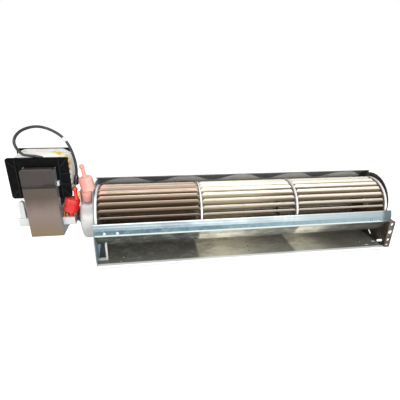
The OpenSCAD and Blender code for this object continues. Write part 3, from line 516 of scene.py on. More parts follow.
def piece(name, mesh_data, material, body):
    """Makes a finished bmesh an object on its body, at the origin."""
    mesh = bpy.data.meshes.new(name)
    bmesh.ops.recalc_face_normals(mesh_data, faces=mesh_data.faces)
    mesh_data.to_mesh(mesh)
    mesh_data.free()
    mesh.materials.append(material)
    obj = new_object(name, mesh)
    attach(obj, body)
    return obj


SHARP_ANGLE = math.radians(35)


def smooth(obj):
    """Shades an object smooth, with its sharp edges kept."""
    obj.data.shade_smooth()
    obj.data.set_sharp_from_angle(angle=SHARP_ANGLE)


# The coil's skin: radii of its top and bottom edges, of its arch and of its bowed side, and
# how far past the wheel's axis along Y the last two are centred
EDGE_TOP, EDGE_LOW = 11 * MM, 6 * MM
ARCH, BOW = 36 * MM, 60 * MM
ARCH_MIDDLE, BOW_MIDDLE = 7 * MM, 2 * MM
TUCK = 0.35 * MM


def coil_skin(low, high, first, last, proud, rows):
    """The taped coil's skin from Y first to last: arched above, bowed at its right side."""
    width, height = high.x - low.x, high.z - low.z
    middle = Vector(((low.x + high.x) / 2, (first + last) / 2, (low.z + high.z) / 2))
    depth = last - first
    shape = bmesh.new()
    bmesh.ops.create_cube(shape, size=1.0)
    bmesh.ops.scale(shape, vec=(width, depth, height), verts=shape.verts)
    for above, radius in ((True, EDGE_TOP), (False, EDGE_LOW)):
        edges = [e for e in shape.edges if abs(e.verts[0].co.y - e.verts[1].co.y) > depth / 2
                 and (e.verts[0].co.z > height * 0.4) == above
                 and abs(e.verts[0].co.z) > height * 0.4]
        bmesh.ops.bevel(shape, geom=edges, offset=radius, offset_type="OFFSET", segments=12,
                        profile=0.5, affect="EDGES", material=-1, clamp_overlap=True)
    for i in range(1, rows):
        bmesh.ops.bisect_plane(shape, geom=shape.verts[:] + shape.edges[:] + shape.faces[:],
                               plane_co=(0, depth * (i / rows - 0.5), 0), plane_no=(0, 1, 0))
    for vertex in shape.verts:
        y = vertex.co.y + middle.y - WHEEL_AXIS.y
        arch = ARCH - math.sqrt(ARCH ** 2 - (y - ARCH_MIDDLE) ** 2)
        bow = BOW - math.sqrt(BOW ** 2 - (y - BOW_MIDDLE) ** 2)
        tuck = TUCK * abs(2 * vertex.co.y / depth) ** 6
        u, v = vertex.co.x / (width / 2), vertex.co.z / (height / 2)
        vertex.co.x += (proud - tuck) * u - (bow * u if u > 0 else 0)
        vertex.co.z += (proud - tuck) * v - (arch * v if v > 0 else 0)
    bmesh.ops.translate(shape, vec=middle, verts=shape.verts)
    return shape


# operators


# Places below are millimetres about the wheel's axis, along the axes of the row frame.
# Two numbers are a soft edge: where it starts and where it ends.
# The rail's bands by height, painted highlights and shade on its bead, facets and lower edge: low,
# high, tone and strength
RAIL_BANDS = (
    (1.9, 6.0, tint(196, 203, 201), 1.0), (0.4, 1.9, tint(118, 130, 136), 0.85),
    (-0.8, 0.4, tint(142, 152, 158), 0.9), (-2.9, -0.8, tint(104, 120, 128), 0.75),
    (-9.4, -7.5, tint(212, 220, 216), 1.0))
# Painted light on the rail's upper facet, growing towards the right
RAIL_SLOPE, SLOPE_START, SLOPE_LIGHT = (-2.9, 6.0), (40, 220), tint(170, 181, 181)
RAIL_BACK, BACK_TONE = (0.1, 0.4), tint(110, 112, 108)
RAIL_MIDDLE = ("X", 30, 260, tint(154, 179, 184), 0.6)
# Painted shade at the rail's right end
RAIL_END_SHADE = ("X", 294, 300, tint(62, 74, 80), 0.8)
# Under the rail the tongue takes painted shade and pools of painted light, with deeper painted
# shade at its right end
TONGUE_TOP, TONGUE_END = (-9.8, -9.5), (236, 268)
TONGUE_SHADE, TONGUE_LIGHT_POOL, TONGUE_END_SHADE = tint(86, 84, 76), tint(255, 252, 232), tint(66, 62, 54)
# The outlet's floor: painted shade, deeper at its front and far right end, a mottle of painted
# reflections and pools of painted light
FLOOR_TOP, FLOOR_FRONT, FLOOR_END = (-38.6, -37.6), (-34.2, -33.2), (236, 262)
FLOOR_FRONT_SHADE, FLOOR_UP = (-32, -14), (0.5, 0.8)
FLOOR_LIGHT_POOL, FLOOR_END_SHADE, MOTTLE_REFLECTION = tint(255, 252, 228), tint(78, 76, 68), tint(178, 180, 172)
# The outlet's pools of painted light along X: start, full, end, and how long each stays full
LIGHT_POOL_BAYS, FULL_BAY = ((96, 99.5, 196), (200.5, 204, 244)), 14
# Three small dark marks on the outlet's floor, and their soft edge
FLOOR_MARKS = ((154.4, -8.0, -39.0), (153.7, -16.8, -39.0), (152.7, -26.6, -39.0))
MARK_EDGE, MARK_TONE = (0.8 * MM, 1.2 * MM), tint(40, 40, 38)
# The lip's face takes a painted highlight, and a painted shadow line at its foot
LIP_FACE, LIP_EDGE = (-37.05, -36.95), (-38, -37.5)
LIP_SHADOW_LINE, LIP_SHADOW_TONE = (-42.3, -41.6), tint(168, 172, 170)
# The painted reflection in waves inside the top, under painted shade: length, place of a crest,
# middle height, rise
WAVE_PERIOD, WAVE_CREST, WAVE_LEVEL, WAVE_RISE = 63.5, 26.0, 28.2, 5.2
WAVE_EDGE, INSIDE_FOOT, INSIDE_FACE = (-0.6, 0.8), (8, 12), (-0.3, -0.1)
WAVE_REFLECTION, WAVE_SHADE = tint(255, 255, 252), tint(98, 106, 104)
# The cup's painted light and shade by height: a highlight round its middle, shade towards its foot
# and top
CUP_MIDDLE, CUP_HIGHLIGHT = (-4, 6, 8.0), tint(208, 208, 204)
CUP_SHADE_BANDS = (("Z", -12, -22, tint(138, 129, 118), 0.8), ("Z", 12, 22, tint(182, 172, 166), 0.7))
# The bracket's fold takes painted light, its right edge and foot painted highlights
BRACKET_FOLD, FOLD_LIGHT = (4.6, 5.2), tint(128, 146, 156)
BRACKET_EDGE_HIGHLIGHTS = (("X", 4.0, 4.4, tint(226, 226, 216), 0.95),
                 ("Z", -37.4, -38.0, tint(226, 226, 216), 0.95))


class BLOWER_OT_housing(bpy.types.Operator):
    """Finish of the galvanised housing, its rail, bracket and cup"""

    bl_idname = "blower.dress_housing"
    bl_label = "Housing"

    def execute(self, context):
        colours = context.scene.blower_colours
        self.finish_scroll(colours)
        self.finish_rail(colours)
        self.finish_plates()
        cup = finish("Drawn cup", rolled_group, Colour=tint(188, 186, 182),
                     Line_Scale=(300, 300, 300), Contrast=0.1, Base_Roughness=0.36,
                     Metallic=0.35, bump=0.15, depth=0.1 * MM)
        tree = cup.node_tree
        # Painted highlight round the cup's middle, painted shade towards its foot and top
        overlay(cup, band(tree, wheel_place(tree)[2], *CUP_MIDDLE), CUP_HIGHLIGHT, 0.7)
        shade_along(cup, *CUP_SHADE_BANDS)
        paint(cup, "motor_cup")
        plating = dict(Colour=tint(226, 226, 222), Line_Scale=(400, 400, 400), Contrast=0.15,
                       Base_Roughness=0.22, bump=0.1)
        plated = finish("Plated steel", rolled_group, Metallic=0.8, **plating)
        paint(plated, "bridge_screws", "rotor_shaft", "tail_pin")
        rivets = finish("Rivet heads", rolled_group, Metallic=0.5, **plating)
        # The right pair of rivets takes the rail's colour
        shade_along(rivets, ("X", 150, 152, colours.rail_light, 1.0))
        paint(rivets, "housing_rivets")
        return {"FINISHED"}

    def zinc(self, name, bump, **values):
        return finish(name, zinc_group, bump=bump, depth=bump * MM, **values)

    def finish_scroll(self, colours):
        """The scroll: a painted reflection in slow waves inside its top, painted shade and light
        on its floor, painted highlights on its lip.
        """
        sheet = self.zinc("Galvanised sheet", Dark=colours.zinc_dark, Light=colours.zinc_light,
                          Flake_Size=300, Streaks=0.5, Base_Roughness=0.36, Metallic=0.15,
                          bump=0.4)
        tree = sheet.node_tree
        x, y, z = wheel_place(tree)
        _, back, up = facing(tree)
        inside = times(tree, below(tree, back, *INSIDE_FACE), between(tree, z, *INSIDE_FOOT))
        turn = times(tree, minus(tree, x, WAVE_CREST), 2 * math.pi / WAVE_PERIOD)
        level = plus(tree, WAVE_LEVEL, times(tree, arithmetic(tree, "COSINE", turn), WAVE_RISE))
        above = between(tree, minus(tree, z, level), *WAVE_EDGE)
        # A painted reflection of the lit blades inside the top, with painted shade above the
        # waves' line
        overlay(sheet, inside, WAVE_REFLECTION)
        overlay(sheet, times(tree, inside, above), WAVE_SHADE, 0.9)
        floor = times(tree, between(tree, up, *FLOOR_UP), below(tree, z, *FLOOR_TOP))
        # Painted shade over the floor, a mottle of painted reflections, and pools of painted light
        self.outlet_light_and_shade(sheet, floor, x, colours.shadow, FLOOR_LIGHT_POOL)
        # Deeper painted shade towards the floor's front and at its far right end
        overlay(sheet, times(tree, floor, below(tree, y, *FLOOR_FRONT_SHADE)), colours.shadow, 0.4)
        overlay(sheet, times(tree, floor, between(tree, x, *FLOOR_END)), FLOOR_END_SHADE, 0.5)
        place = object_place(tree)
        for spot in FLOOR_MARKS:
            away = distance(tree, place, at(*spot))
            overlay(sheet, below(tree, away, *MARK_EDGE), MARK_TONE, 0.9)
        # Painted highlight on the floor's front fold, and on the lip's face with a painted shadow
        # line at its foot
        overlay(sheet, times(tree, floor, below(tree, y, *FLOOR_FRONT)), colours.edge)
        lip = below(tree, y, *LIP_FACE)
        overlay(sheet, times(tree, lip, below(tree, z, *LIP_EDGE)), colours.edge)
        overlay(sheet, times(tree, lip, band(tree, z, *LIP_SHADOW_LINE)), LIP_SHADOW_TONE, 0.8)
        paint(sheet, "scroll_wall")

    def outlet_light_and_shade(self, material, mask, x, dull, bright):
        """The outlet's sheet where the mask says: the dull tone as painted shade, a mottle of
        painted reflections, two warm pools of painted light.
        """
        tree = material.node_tree
        place = object_place(tree)
        overlay(material, mask, dull, 0.9)
        mottle = noise(tree, stretched(tree, place, (90, 130, 130)), 1.0, 6.0, 0.75)
        mottle = times(tree, mask, between(tree, mottle, 0.45, 0.62))
        overlay(material, mottle, MOTTLE_REFLECTION, 0.5)
        light = noise(tree, stretched(tree, place, (42, 90, 70)), 1.0, 6.0, 0.7)
        light = between(tree, light, 0.36, 0.6, 0.45, 1.0)
        for start, full, end in LIGHT_POOL_BAYS:
            bay = times(tree, between(tree, x, start, full),
                        between(tree, x, full + FULL_BAY, end, 1.0, 0.12))
            overlay(material, times(tree, mask, bay, light), bright, 0.95)

    def finish_rail(self, colours):
        """The rail in blue-grey bands with painted highlights and shade; painted shade and light
        where the tongue goes under it.
        """
        rail = self.zinc("Rail sheet", Dark=colours.rail_dark, Light=colours.rail_light,
                         Flake_Size=260, Streaks=0.9, Base_Roughness=0.34, Metallic=0.4,
                         bump=0.3)
        tree = rail.node_tree
        x, _, z = wheel_place(tree)
        shade_along(rail, RAIL_MIDDLE)
        # Painted highlights and shade in bands by height, painted light on the upper facet,
        # painted shade at the right end
        for low, high, tone, amount in RAIL_BANDS:
            overlay(rail, band(tree, z, low, high), tone, amount)
        slope = times(tree, band(tree, z, *RAIL_SLOPE), between(tree, x, *SLOPE_START))
        overlay(rail, slope, SLOPE_LIGHT, 0.6)
        shade_along(rail, RAIL_END_SHADE)
        overlay(rail, between(tree, facing(tree)[1], *RAIL_BACK), BACK_TONE, 0.8)
        # Painted shade and pools of painted light on the tongue under the rail, deeper painted
        # shade at its right end
        under = below(tree, z, *TONGUE_TOP)
        self.outlet_light_and_shade(rail, under, x, TONGUE_SHADE, TONGUE_LIGHT_POOL)
        overlay(rail, times(tree, under, between(tree, x, *TONGUE_END)), TONGUE_END_SHADE, 0.7)
        paint(rail, "tongue_rail")

    def finish_plates(self):
        """End plates and bracket, each in its own tone of sheet; the right plate and bracket
        darkened as painted shade, the bracket's fold and edges lit.
        """
        left = self.zinc("Left plate", Dark=tint(112, 128, 136), Light=tint(166, 178, 184),
                         Flake_Size=300, Streaks=0.4, Base_Roughness=0.38, Metallic=0.2,
                         bump=0.3)
        paint(left, "left_end_plate")
        # Painted shade: the right plate darker than the rest of the sheet
        right = self.zinc("Right plate", Dark=tint(62, 55, 50), Light=tint(116, 106, 96),
                          Flake_Size=150, Streaks=0.4, Base_Roughness=0.4, Metallic=0.5,
                          bump=0.3)
        paint(right, "right_end_plate")
        # Painted shade: the bracket far darker than the rest of the sheet, with painted light on
        # its fold and highlights on its edges
        bracket = self.zinc("Bracket", Dark=tint(30, 36, 40), Light=tint(56, 64, 70),
                            Flake_Size=200, Streaks=0.4, Base_Roughness=0.36, Metallic=0.3,
                            bump=0.3)
        tree = bracket.node_tree
        x, _, z = wheel_place(tree)
        slope = minus(tree, x, times(tree, z, 0.2))
        overlay(bracket, below(tree, slope, *BRACKET_FOLD), FOLD_LIGHT, 0.9)
        shade_along(bracket, *BRACKET_EDGE_HIGHLIGHTS)
        paint(bracket, "outlet_bracket")


# The wheel's bays and ends along X, and its bands by their distance from the axis, where painted
# shade, light and reflections lie
FIRST_BAY, LIGHT_ROOTS, RIGHT_DISC = (97, 99), (150, 192), (290, 292)
GAP_BAND, ROOT_BAND, DISC_BAND, END_BAND = (29.2, 29.6), (26.9, 28.0), (27.6, 28.4), (28.9, 29.3)
# The first bay's painted shade below its blades' bright tips, and its browner painted reflection
GAP_SHADE, FIRST_BAY_REFLECTION = tint(132, 112, 92), tint(172, 146, 126)
# Painted shade on the blade roots, and lighter painted light on them up to the middle bay
ROOT_SHADE, ROOT_PAINTED_LIGHT = tint(146, 124, 94), tint(226, 213, 182)
# A painted pink reflection at the left end of the upper blades: where it lies along X and Z, and
# its tone
PINK_END, PINK_TOP, PINK_REFLECTION = (3, 11), (20, 26), tint(232, 160, 150)


class BLOWER_OT_wheel(bpy.types.Operator):
    """Finish of the blades, rings, discs and hub"""

    bl_idname = "blower.dress_wheel"
    bl_label = "Wheel"

    def execute(self, context):
        colours = context.scene.blower_colours
        blades = finish("Blade sheet", rolled_group, Colour=colours.blade,
                        Line_Scale=(6, 260, 260), Contrast=0.14, Base_Roughness=0.34,
                        Metallic=0.35)
        tree = blades.node_tree
        x, y, z = wheel_place(tree)
        radius = self.radius(tree, y, z)
        # The first bay: painted shade below the blades' bright tips, and a browner painted
        # reflection over it
        first_bay = below(tree, x, *FIRST_BAY)
        gap_shade = times(tree, first_bay, below(tree, radius, *GAP_BAND))
        overlay(blades, gap_shade, GAP_SHADE, 0.85)
        overlay(blades, first_bay, FIRST_BAY_REFLECTION, 0.6)
        # A painted pink reflection on the upper blades' left end
        pink_reflection = times(tree, below(tree, x, *PINK_END), between(tree, z, *PINK_TOP))
        overlay(blades, pink_reflection, PINK_REFLECTION, 0.6)
        # Painted shade on the blades' roots, lightened by painted light up to the middle bay,
        # darkest in the first bay
        root = below(tree, radius, *ROOT_BAND)
        overlay(blades, root, ROOT_SHADE, 0.9)
        overlay(blades, times(tree, root, below(tree, x, *LIGHT_ROOTS)), ROOT_PAINTED_LIGHT, 0.8)
        overlay(blades, times(tree, first_bay, root), colours.blade_root_shade, 0.92)
        paint(blades, *[n for n in NODES if n.startswith("blade_")])
        discs = finish("Disc sheet", rolled_group, Colour=colours.wheel,
                       Line_Scale=(300, 300, 300), Contrast=0.1, Base_Roughness=0.45,
                       Metallic=0.2, bump=0.1)
        tree = discs.node_tree
        x, y, z = wheel_place(tree)
        radius = self.radius(tree, y, z)
        # Painted shade in the blade roots' brown on the discs' inner rims and the right disc's end
        # band
        overlay(discs, below(tree, radius, *DISC_BAND), colours.blade_root_shade, 0.8)
        end = times(tree, between(tree, x, *RIGHT_DISC), below(tree, radius, *END_BAND))
        overlay(discs, end, colours.blade_root_shade, 0.8)
        paint(discs, *[n for n in NODES if n.startswith("wheel_")])
        rubber = finish("Black rubber", speckle_group, Colour=tint(40, 38, 38), Dust=0.25,
                        Grain_Scale=3000, Base_Roughness=0.5, bump=0.25, depth=0.1 * MM)
        paint(rubber, "drive_hub", "tail_bearing_rubber")
        return {"FINISHED"}

    def radius(self, tree, y, z):
        """Distance from the wheel's axis, from Y and Z about it."""
        squares = plus(tree, times(tree, y, y), times(tree, z, z))
        return arithmetic(tree, "SQRT", squares)


BOBBIN_RIBS = ("Y", -12.9, -13.2, tint(38, 38, 41), 0.9)
CORE_FOOT, BAR_FOOT = tint(70, 62, 50), tint(38, 35, 33)


class BLOWER_OT_motor(bpy.types.Operator):
    """Finish of the core, bridges, bobbin, bearings and screws"""

    bl_idname = "blower.dress_motor"
    bl_label = "Motor"

    def execute(self, context):
        colours = context.scene.blower_colours
        core = finish("Stacked steel", graded_group, Top=colours.core_top,
                      Middle=colours.core_middle, Low=colours.core_low, Face=colours.core_face,
                      Low_Height=0.034, Middle_Height=0.052, Top_Height=0.072,
                      Base_Roughness=0.4, Metallic=0.25, bump=0.3, depth=0.08 * MM)
        foot = (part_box("stator_core")[0].z - WHEEL_AXIS.z) / MM
        shade_along(core, ("Z", foot + 1.1, foot + 0.5, CORE_FOOT, 0.8))
        paint(core, "stator_core", "rotor_core")
        bar = finish("Varnished bar", graded_group, Top=colours.bar, Middle=colours.bar,
                     Low=BAR_FOOT, Face=colours.core_face, Low_Height=0.0815,
                     Middle_Height=0.0845, Top_Height=0.09, Base_Roughness=0.3, Metallic=0.1,
                     Specular_IOR_Level=0.35, bump=0.3, depth=0.08 * MM)
        paint(bar, "coil_bar")
        alloy = finish("Cast alloy", speckle_group, Colour=colours.cast,
                       Dust_Colour=tint(150, 150, 148), Dust=0.15, Grain_Scale=1800,
                       Base_Roughness=0.4, Metallic=0.3, bump=0.3, depth=0.12 * MM)
        paint(alloy, "inner_bridge", "outer_bridge")
        plastic = finish("Bobbin plastic", speckle_group, Colour=colours.bobbin,
                         Dust_Colour=tint(120, 116, 108), Dust=0.02, Grain_Scale=2600,
                         Base_Roughness=0.45, Specular_IOR_Level=0.08, bump=0.2,
                         depth=0.06 * MM)
        shade_along(plastic, BOBBIN_RIBS)
        paint(plastic, "bobbin")
        brass = finish("Turned brass", rolled_group, Colour=colours.brass,
                       Line_Scale=(500, 500, 500), Contrast=0.25, Base_Roughness=0.24,
                       Metallic=1.0, bump=0.1)
        paint(brass, "brass_screws", "coil_terminal")
        bronze = finish("Sintered bronze", rolled_group, Colour=tint(150, 112, 70),
                        Line_Scale=(900, 900, 900), Contrast=0.5, Base_Roughness=0.4,
                        Metallic=0.9, bump=0.3)
        paint(bronze, "tail_bearing", "inner_bearing", "outer_bearing")
        copper = finish("Copper", rolled_group, Colour=tint(200, 118, 78),
                        Line_Scale=(300, 900, 900), Contrast=0.3, Base_Roughness=0.3,
                        Metallic=1.0, bump=0.1)
        paint(copper, "shading_rings")
        return {"FINISHED"}


# Painted light on the upper isolator's right side, painted shade at its foot
PALE_LIGHT_AND_SHADE = (("X", -12, -3, tint(255, 206, 190), 0.7), ("Z", 31, 22, tint(196, 132, 122), 0.8))


class BLOWER_OT_isolators(bpy.types.Operator):
    """Soft rubber of the two isolators"""

    bl_idname = "blower.dress_isolators"
    bl_label = "Isolators"

    def execute(self, context):
        colours = context.scene.blower_colours
        pale = self.silicone("Pale silicone", colours.pink)
        # Painted light on the right side, painted shade at the foot
        shade_along(pale, *PALE_LIGHT_AND_SHADE)
        paint(pale, "top_isolator")
        paint(self.silicone("Red silicone", colours.red), "low_isolator")
        return {"FINISHED"}

    def silicone(self, name, tone):
        return finish(name, speckle_group, Colour=tone, Dust_Colour=tint(250, 225, 215),
                      Dust=0.12, Grain_Scale=1500, Base_Roughness=0.26, bump=0.1,
                      depth=0.06 * MM, Subsurface_Weight=0.2, Subsurface_Scale=3 * MM,
                      Subsurface_Radius=(1.0, 0.4, 0.3))


# Yellowed patches of the tape: a middle, a reach and a strength. Noise frays their edges.
FRAY_SCALE, FRAY, STAIN_EDGE = 260.0, 7.0, (2.2, 3.6)
STAINS = ((-63.4, 1.5, 66, 2.2, 0.9), (-51.5, 1.4, 66, 1.8, 0.45), (-36, -1, 66, 2.4, 0.75),
          (-31, -3.5, 65, 3.2, 1.0), (-24.5, -5, 61.5, 3.4, 1.0), (-22.4, -7, 56, 3.4, 1.0),
          (-22.3, -7.5, 50.5, 2.4, 0.7), (-60, 9, 64, 3.0, 0.8), (-73, 2, 55, 4.0, 0.9),
          (-73, -4, 40, 3.0, 0.7), (-22, 5, 44, 3.0, 0.8), (-48, 7, 66, 2.6, 0.7))
# Where each turn of tape that stands proud starts and stops along Y
TAPE_TURNS = ((-8.6, 0.4), (1.4, 9.8))
CLIP_LOW, CLIP_HIGH = (-33.4, -17.0, 37.2), (-31.9, -12.4, 41.6)


class BLOWER_OT_coil(bpy.types.Operator):
    """The coil under its white tape, bulging between the bobbin's flanges"""

    bl_idname = "blower.tape_coil"
    bl_label = "Taped coil"

    def execute(self, context):
        sizes = context.scene.blower_sizes
        colours = context.scene.blower_colours
        low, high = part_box("taped_coil")
        inset = Vector((1, 1, 1)) * sizes.tape_thickness * 2
        low, high = low + inset, high - inset
        self.clip()
        tape = self.tape_material(colours)
        coil = piece("taped_winding", coil_skin(low, high, low.y, high.y, 0.0, 14), tape,
                     "housing")
        smooth(coil)
        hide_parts("taped_coil")
        for i, (start, stop) in enumerate(TAPE_TURNS):
            turn = coil_skin(low, high, WHEEL_AXIS.y + start * MM, WHEEL_AXIS.y + stop * MM,
                             sizes.tape_thickness, 8)
            smooth(piece(f"tape_turn_{i + 1}", turn, tape, "housing"))
        return {"FINISHED"}

    def clip(self):
        """The small pale tab on the bobbin's front, beside the core's bar."""
        pale = finish("Pale tab", speckle_group, Colour=tint(236, 238, 238),
                      Dust_Colour=tint(170, 172, 172), Dust=0.3, Grain_Scale=2000,
                      Base_Roughness=0.35, bump=0.2)
        start = at(*CLIP_LOW)
        span = at(*CLIP_HIGH) - start
        shape = bmesh.new()
        bmesh.ops.create_cube(shape, size=1.0)
        bmesh.ops.scale(shape, vec=span, verts=shape.verts)
        bmesh.ops.bevel(shape, geom=shape.edges[:], offset=0.3 * MM, offset_type="OFFSET",
                        segments=3, profile=0.5, affect="EDGES", material=-1)
        bmesh.ops.translate(shape, vec=start + span / 2, verts=shape.verts)
        smooth(piece("bobbin_clip", shape, pale, "housing"))

    def tape_material(self, colours):
        """White woven tape with patches where varnish has yellowed it."""
        tape = finish("Woven tape", speckle_group, Colour=colours.tape,
                      Dust_Colour=tint(236, 233, 222), Dust=0.2, Grain_Scale=1600,
                      Base_Roughness=0.5, bump=0.3, depth=0.12 * MM)
        tree = tape.node_tree
        place = object_place(tree)
        fray = times(tree, noise(tree, place, FRAY_SCALE, 4.0), FRAY)
        for x, y, z, reach, amount in STAINS:
            away = arithmetic(tree, "DIVIDE", distance(tree, place, at(x, y, z)), MM)
            start, end = STAIN_EDGE
            stain = below(tree, plus(tree, away, fray), reach + start, reach + end)
            overlay(tape, stain, colours.tape_stain, amount)
        return tape


# The lead from the coil's terminal round its loop to the sleeve
LEAD_ROUTE = [
    (-43.5, -7.8, 61.2), (-47, -9.2, 62.8), (-51, -9.8, 63.9), (-55.5, -11, 64.7),
    (-60, -11.2, 66), (-64.2, -10, 70.5), (-66, -9, 76), (-64.5, -8, 81), (-60, -8, 85.5),
    (-53.5, -8, 88.5), (-46, -8, 89.8), (-38.5, -8, 88.6), (-31, -8, 85), (-25, -8, 80),
    (-20.8, -8, 73), (-18.3, -8, 65), (-17, -8, 57), (-16.9, -8, 50), (-17.5, -8, 44.6)]
MARKER_PLACE = (-25.2, -8, 80.2)


def smooth_route(points, steps):
    """Points on one smooth curve through the route's points."""
    made = []
    last = len(points) - 1
    for i in range(last):
        a, b = points[max(i - 1, 0)], points[i]
        c, d = points[i + 1], points[min(i + 2, last)]
        for k in range(steps):
            t = k / steps
            made.append(0.5 * (2 * b + (c - a) * t + (2 * a - 5 * b + 4 * c - d) * t * t
                               + (3 * b - a - 3 * c + d) * t * t * t))
    return made + [points[last]]


def tube(name, points, radius, material, body, as_mesh=False):
    """A round section along the points, as a curve or as a mesh."""
    line = bpy.data.curves.new(name, "CURVE")
    line.dimensions = "3D"
    line.bevel_depth = radius
    line.bevel_resolution = 5
    line.use_fill_caps = True
    spline = line.splines.new("POLY")
    spline.points.add(len(points) - 1)
    for point, place in zip(spline.points, points):
        point.co = (*place, 1.0)
    line.materials.append(material)
    if as_mesh:
        draft = bpy.data.objects.new(name, line)
        line = bpy.data.meshes.new_from_object(draft)
        bpy.data.objects.remove(draft)
    obj = new_object(name, line)
    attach(obj, body)
    return obj


class BLOWER_OT_lead(bpy.types.Operator):
    """The motor's black lead with its marker, from the coil to its sleeve"""

    bl_idname = "blower.run_lead"
    bl_label = "Lead"

    def execute(self, context):
        sizes = context.scene.blower_sizes
        colours = context.scene.blower_colours
        insulation = finish("Lead insulation", speckle_group, Colour=colours.lead,
                            Dust_Colour=tint(120, 130, 145), Dust=0.25, Grain_Scale=2000,
                            Base_Roughness=0.3, bump=0.1)
        paint(insulation, "lead_sleeve")
        points = smooth_route([at(*p) for p in LEAD_ROUTE], 6)
        lead = tube("motor_lead_run", points, sizes.lead_diameter / 2, insulation, "housing")
        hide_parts("motor_lead")
        white = finish("White marker", speckle_group, Colour=tint(238, 238, 236),
                       Dust_Colour=tint(200, 200, 196), Dust=0.3, Grain_Scale=1500,
                       Base_Roughness=0.4, bump=0.1)
        place = at(*MARKER_PLACE)
        start = min(range(len(points)), key=lambda i: (points[i] - place).length)
        stop, reach = start, 0.0
        while reach < sizes.marker_length:
            reach += (points[stop + 1] - points[stop]).length
            stop += 1
        marker = tube("lead_marker", points[start:stop + 1], sizes.lead_diameter / 2 + 0.2 * MM,
                      white, "housing", as_mesh=True)
        smooth(marker)
        return {"FINISHED"}


# The camera's place in millimetres about the wheel's axis, and its axes, fitted to the photo
CAMERA_PLACE = (53.37, -303.91, 135.32)
CAMERA_RIGHT = Vector((0.98823, -0.15182, 0.01892))
CAMERA_DOWN = Vector((-0.03965, -0.37359, -0.92674))
CAMERA_AHEAD = Vector((0.14776, 0.91508, -0.37522))
# Each lamp in metres: its place, what it points at, width and depth
KEY_LAMP = ((-0.15, -0.25, 0.75), (0.0, 0.0, 0.03), 0.9, 0.5)
FILL_LAMP = ((0.08, -0.95, 0.27), (0.0, 0.0, 0.06), 0.8, 0.22)
STRIP_LAMP = ((0.3, -0.55, 0.3), (-0.12, 0.0, 0.06), 0.06, 0.5)
WHITE = (1.0, 1.0, 1.0, 1.0)
FLOOR_GREY = (0.8, 0.8, 0.8, 1.0)
FLOOR_HALF_WIDTH = 3.0


def area_lamp(name, place, target, width, depth, watts):
    lamp = bpy.data.lights.new(name, "AREA")
    lamp.shape = "RECTANGLE"
    lamp.size, lamp.size_y = width, depth
    lamp.energy = watts
    obj = new_object(name, lamp)
    obj.location = place
    obj.rotation_euler = (Vector(target) - Vector(place)).to_track_quat("-Z", "Y").to_euler()


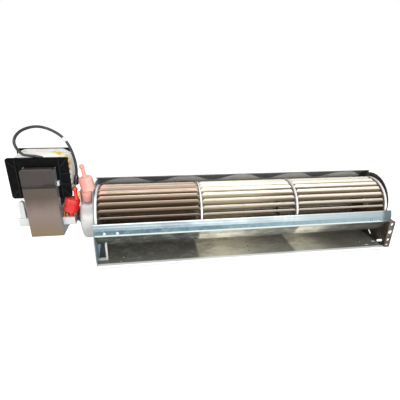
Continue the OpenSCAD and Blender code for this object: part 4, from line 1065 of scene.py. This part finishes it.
class BLOWER_OT_stage(bpy.types.Operator):
    """Camera at the photograph's view, pale floor and soft light"""

    bl_idname = "blower.set_stage"
    bl_label = "Stage"

    def execute(self, context):
        stage = context.scene.blower_stage
        camera = bpy.data.cameras.new("camera")
        camera.lens = stage.lens
        camera.sensor_width = 36.0
        camera.clip_start = 0.01
        holder = new_object("camera", camera)
        turn = Matrix((CAMERA_RIGHT, -CAMERA_DOWN, -CAMERA_AHEAD)).transposed()
        holder.matrix_world = Matrix.Translation(at(*CAMERA_PLACE)) @ turn.to_4x4()
        context.scene.camera = holder
        area_lamp("key_lamp", *KEY_LAMP, stage.key_power)
        area_lamp("fill_lamp", *FILL_LAMP, stage.fill_power)
        area_lamp("strip_lamp", *STRIP_LAMP, stage.strip_power)
        self.light_world(context, stage)
        self.lay_floor(stage)
        context.scene.view_settings.view_transform = "Standard"
        return {"FINISHED"}

    def light_world(self, context, stage):
        world = bpy.data.worlds.new("Plain light")
        context.scene.world = world
        tree = bare_tree(world)
        surface = new_node(tree, "ShaderNodeOutputWorld")
        seen = new_node(tree, "ShaderNodeBackground", Color=WHITE, Strength=1.0)
        cast = new_node(tree, "ShaderNodeBackground", Color=WHITE, Strength=stage.ambient)
        mix = new_node(tree, "ShaderNodeMixShader")
        link(tree, seen_rays(tree), mix.inputs[0])
        link(tree, cast.outputs[0], mix.inputs[1])
        link(tree, seen.outputs[0], mix.inputs[2])
        link(tree, mix.outputs[0], surface.inputs["Surface"])

    def lay_floor(self, stage):
        plane = bmesh.new()
        bmesh.ops.create_grid(plane, x_segments=1, y_segments=1, size=FLOOR_HALF_WIDTH)
        mesh = bpy.data.meshes.new("floor")
        plane.to_mesh(mesh)
        plane.free()
        floor = new_object("floor", mesh)
        material = bpy.data.materials.new("Pale floor")
        tree = bare_tree(material)
        surface = new_node(tree, "ShaderNodeOutputMaterial")
        matt = new_node(tree, "ShaderNodeBsdfDiffuse", Color=FLOOR_GREY)
        glow = new_node(tree, "ShaderNodeEmission")
        link(tree, times(tree, seen_rays(tree), stage.floor_glow), glow.inputs["Strength"])
        joined = new_node(tree, "ShaderNodeAddShader")
        link(tree, matt.outputs[0], joined.inputs[0])
        link(tree, glow.outputs[0], joined.inputs[1])
        link(tree, joined.outputs[0], surface.inputs["Surface"])
        mesh.materials.append(material)


class BLOWER_PT_panel(bpy.types.Panel):
    """Lists the steps that dress the blower"""

    bl_idname = "BLOWER_PT_panel"
    bl_label = "Blower"
    bl_space_type = "VIEW_3D"
    bl_region_type = "UI"
    bl_category = "Blower"

    def draw(self, context):
        column = self.layout.column()
        for operator in OPERATORS:
            column.operator(operator.bl_idname)
        scene = context.scene
        for group in (scene.blower_sizes, scene.blower_colours, scene.blower_stage):
            for name in group.__annotations__:
                column.prop(group, name)


OPERATORS = (BLOWER_OT_stage, BLOWER_OT_lead, BLOWER_OT_housing, BLOWER_OT_wheel,
             BLOWER_OT_motor, BLOWER_OT_isolators, BLOWER_OT_coil)
CLASSES = (BlowerSizes, BlowerColours, BlowerStage, *OPERATORS, BLOWER_PT_panel)


def register():
    for kind in CLASSES:
        bpy.utils.register_class(kind)
    bpy.types.Scene.blower_sizes = PointerProperty(type=BlowerSizes)
    bpy.types.Scene.blower_colours = PointerProperty(type=BlowerColours)
    bpy.types.Scene.blower_stage = PointerProperty(type=BlowerStage)


def unregister():
    del bpy.types.Scene.blower_stage
    del bpy.types.Scene.blower_colours
    del bpy.types.Scene.blower_sizes
    for kind in reversed(CLASSES):
        bpy.utils.unregister_class(kind)


def main():
    register()
    for operator in OPERATORS:
        group, name = operator.bl_idname.split(".")
        getattr(getattr(bpy.ops, group), name)()


if __name__ == "__main__":
    main()
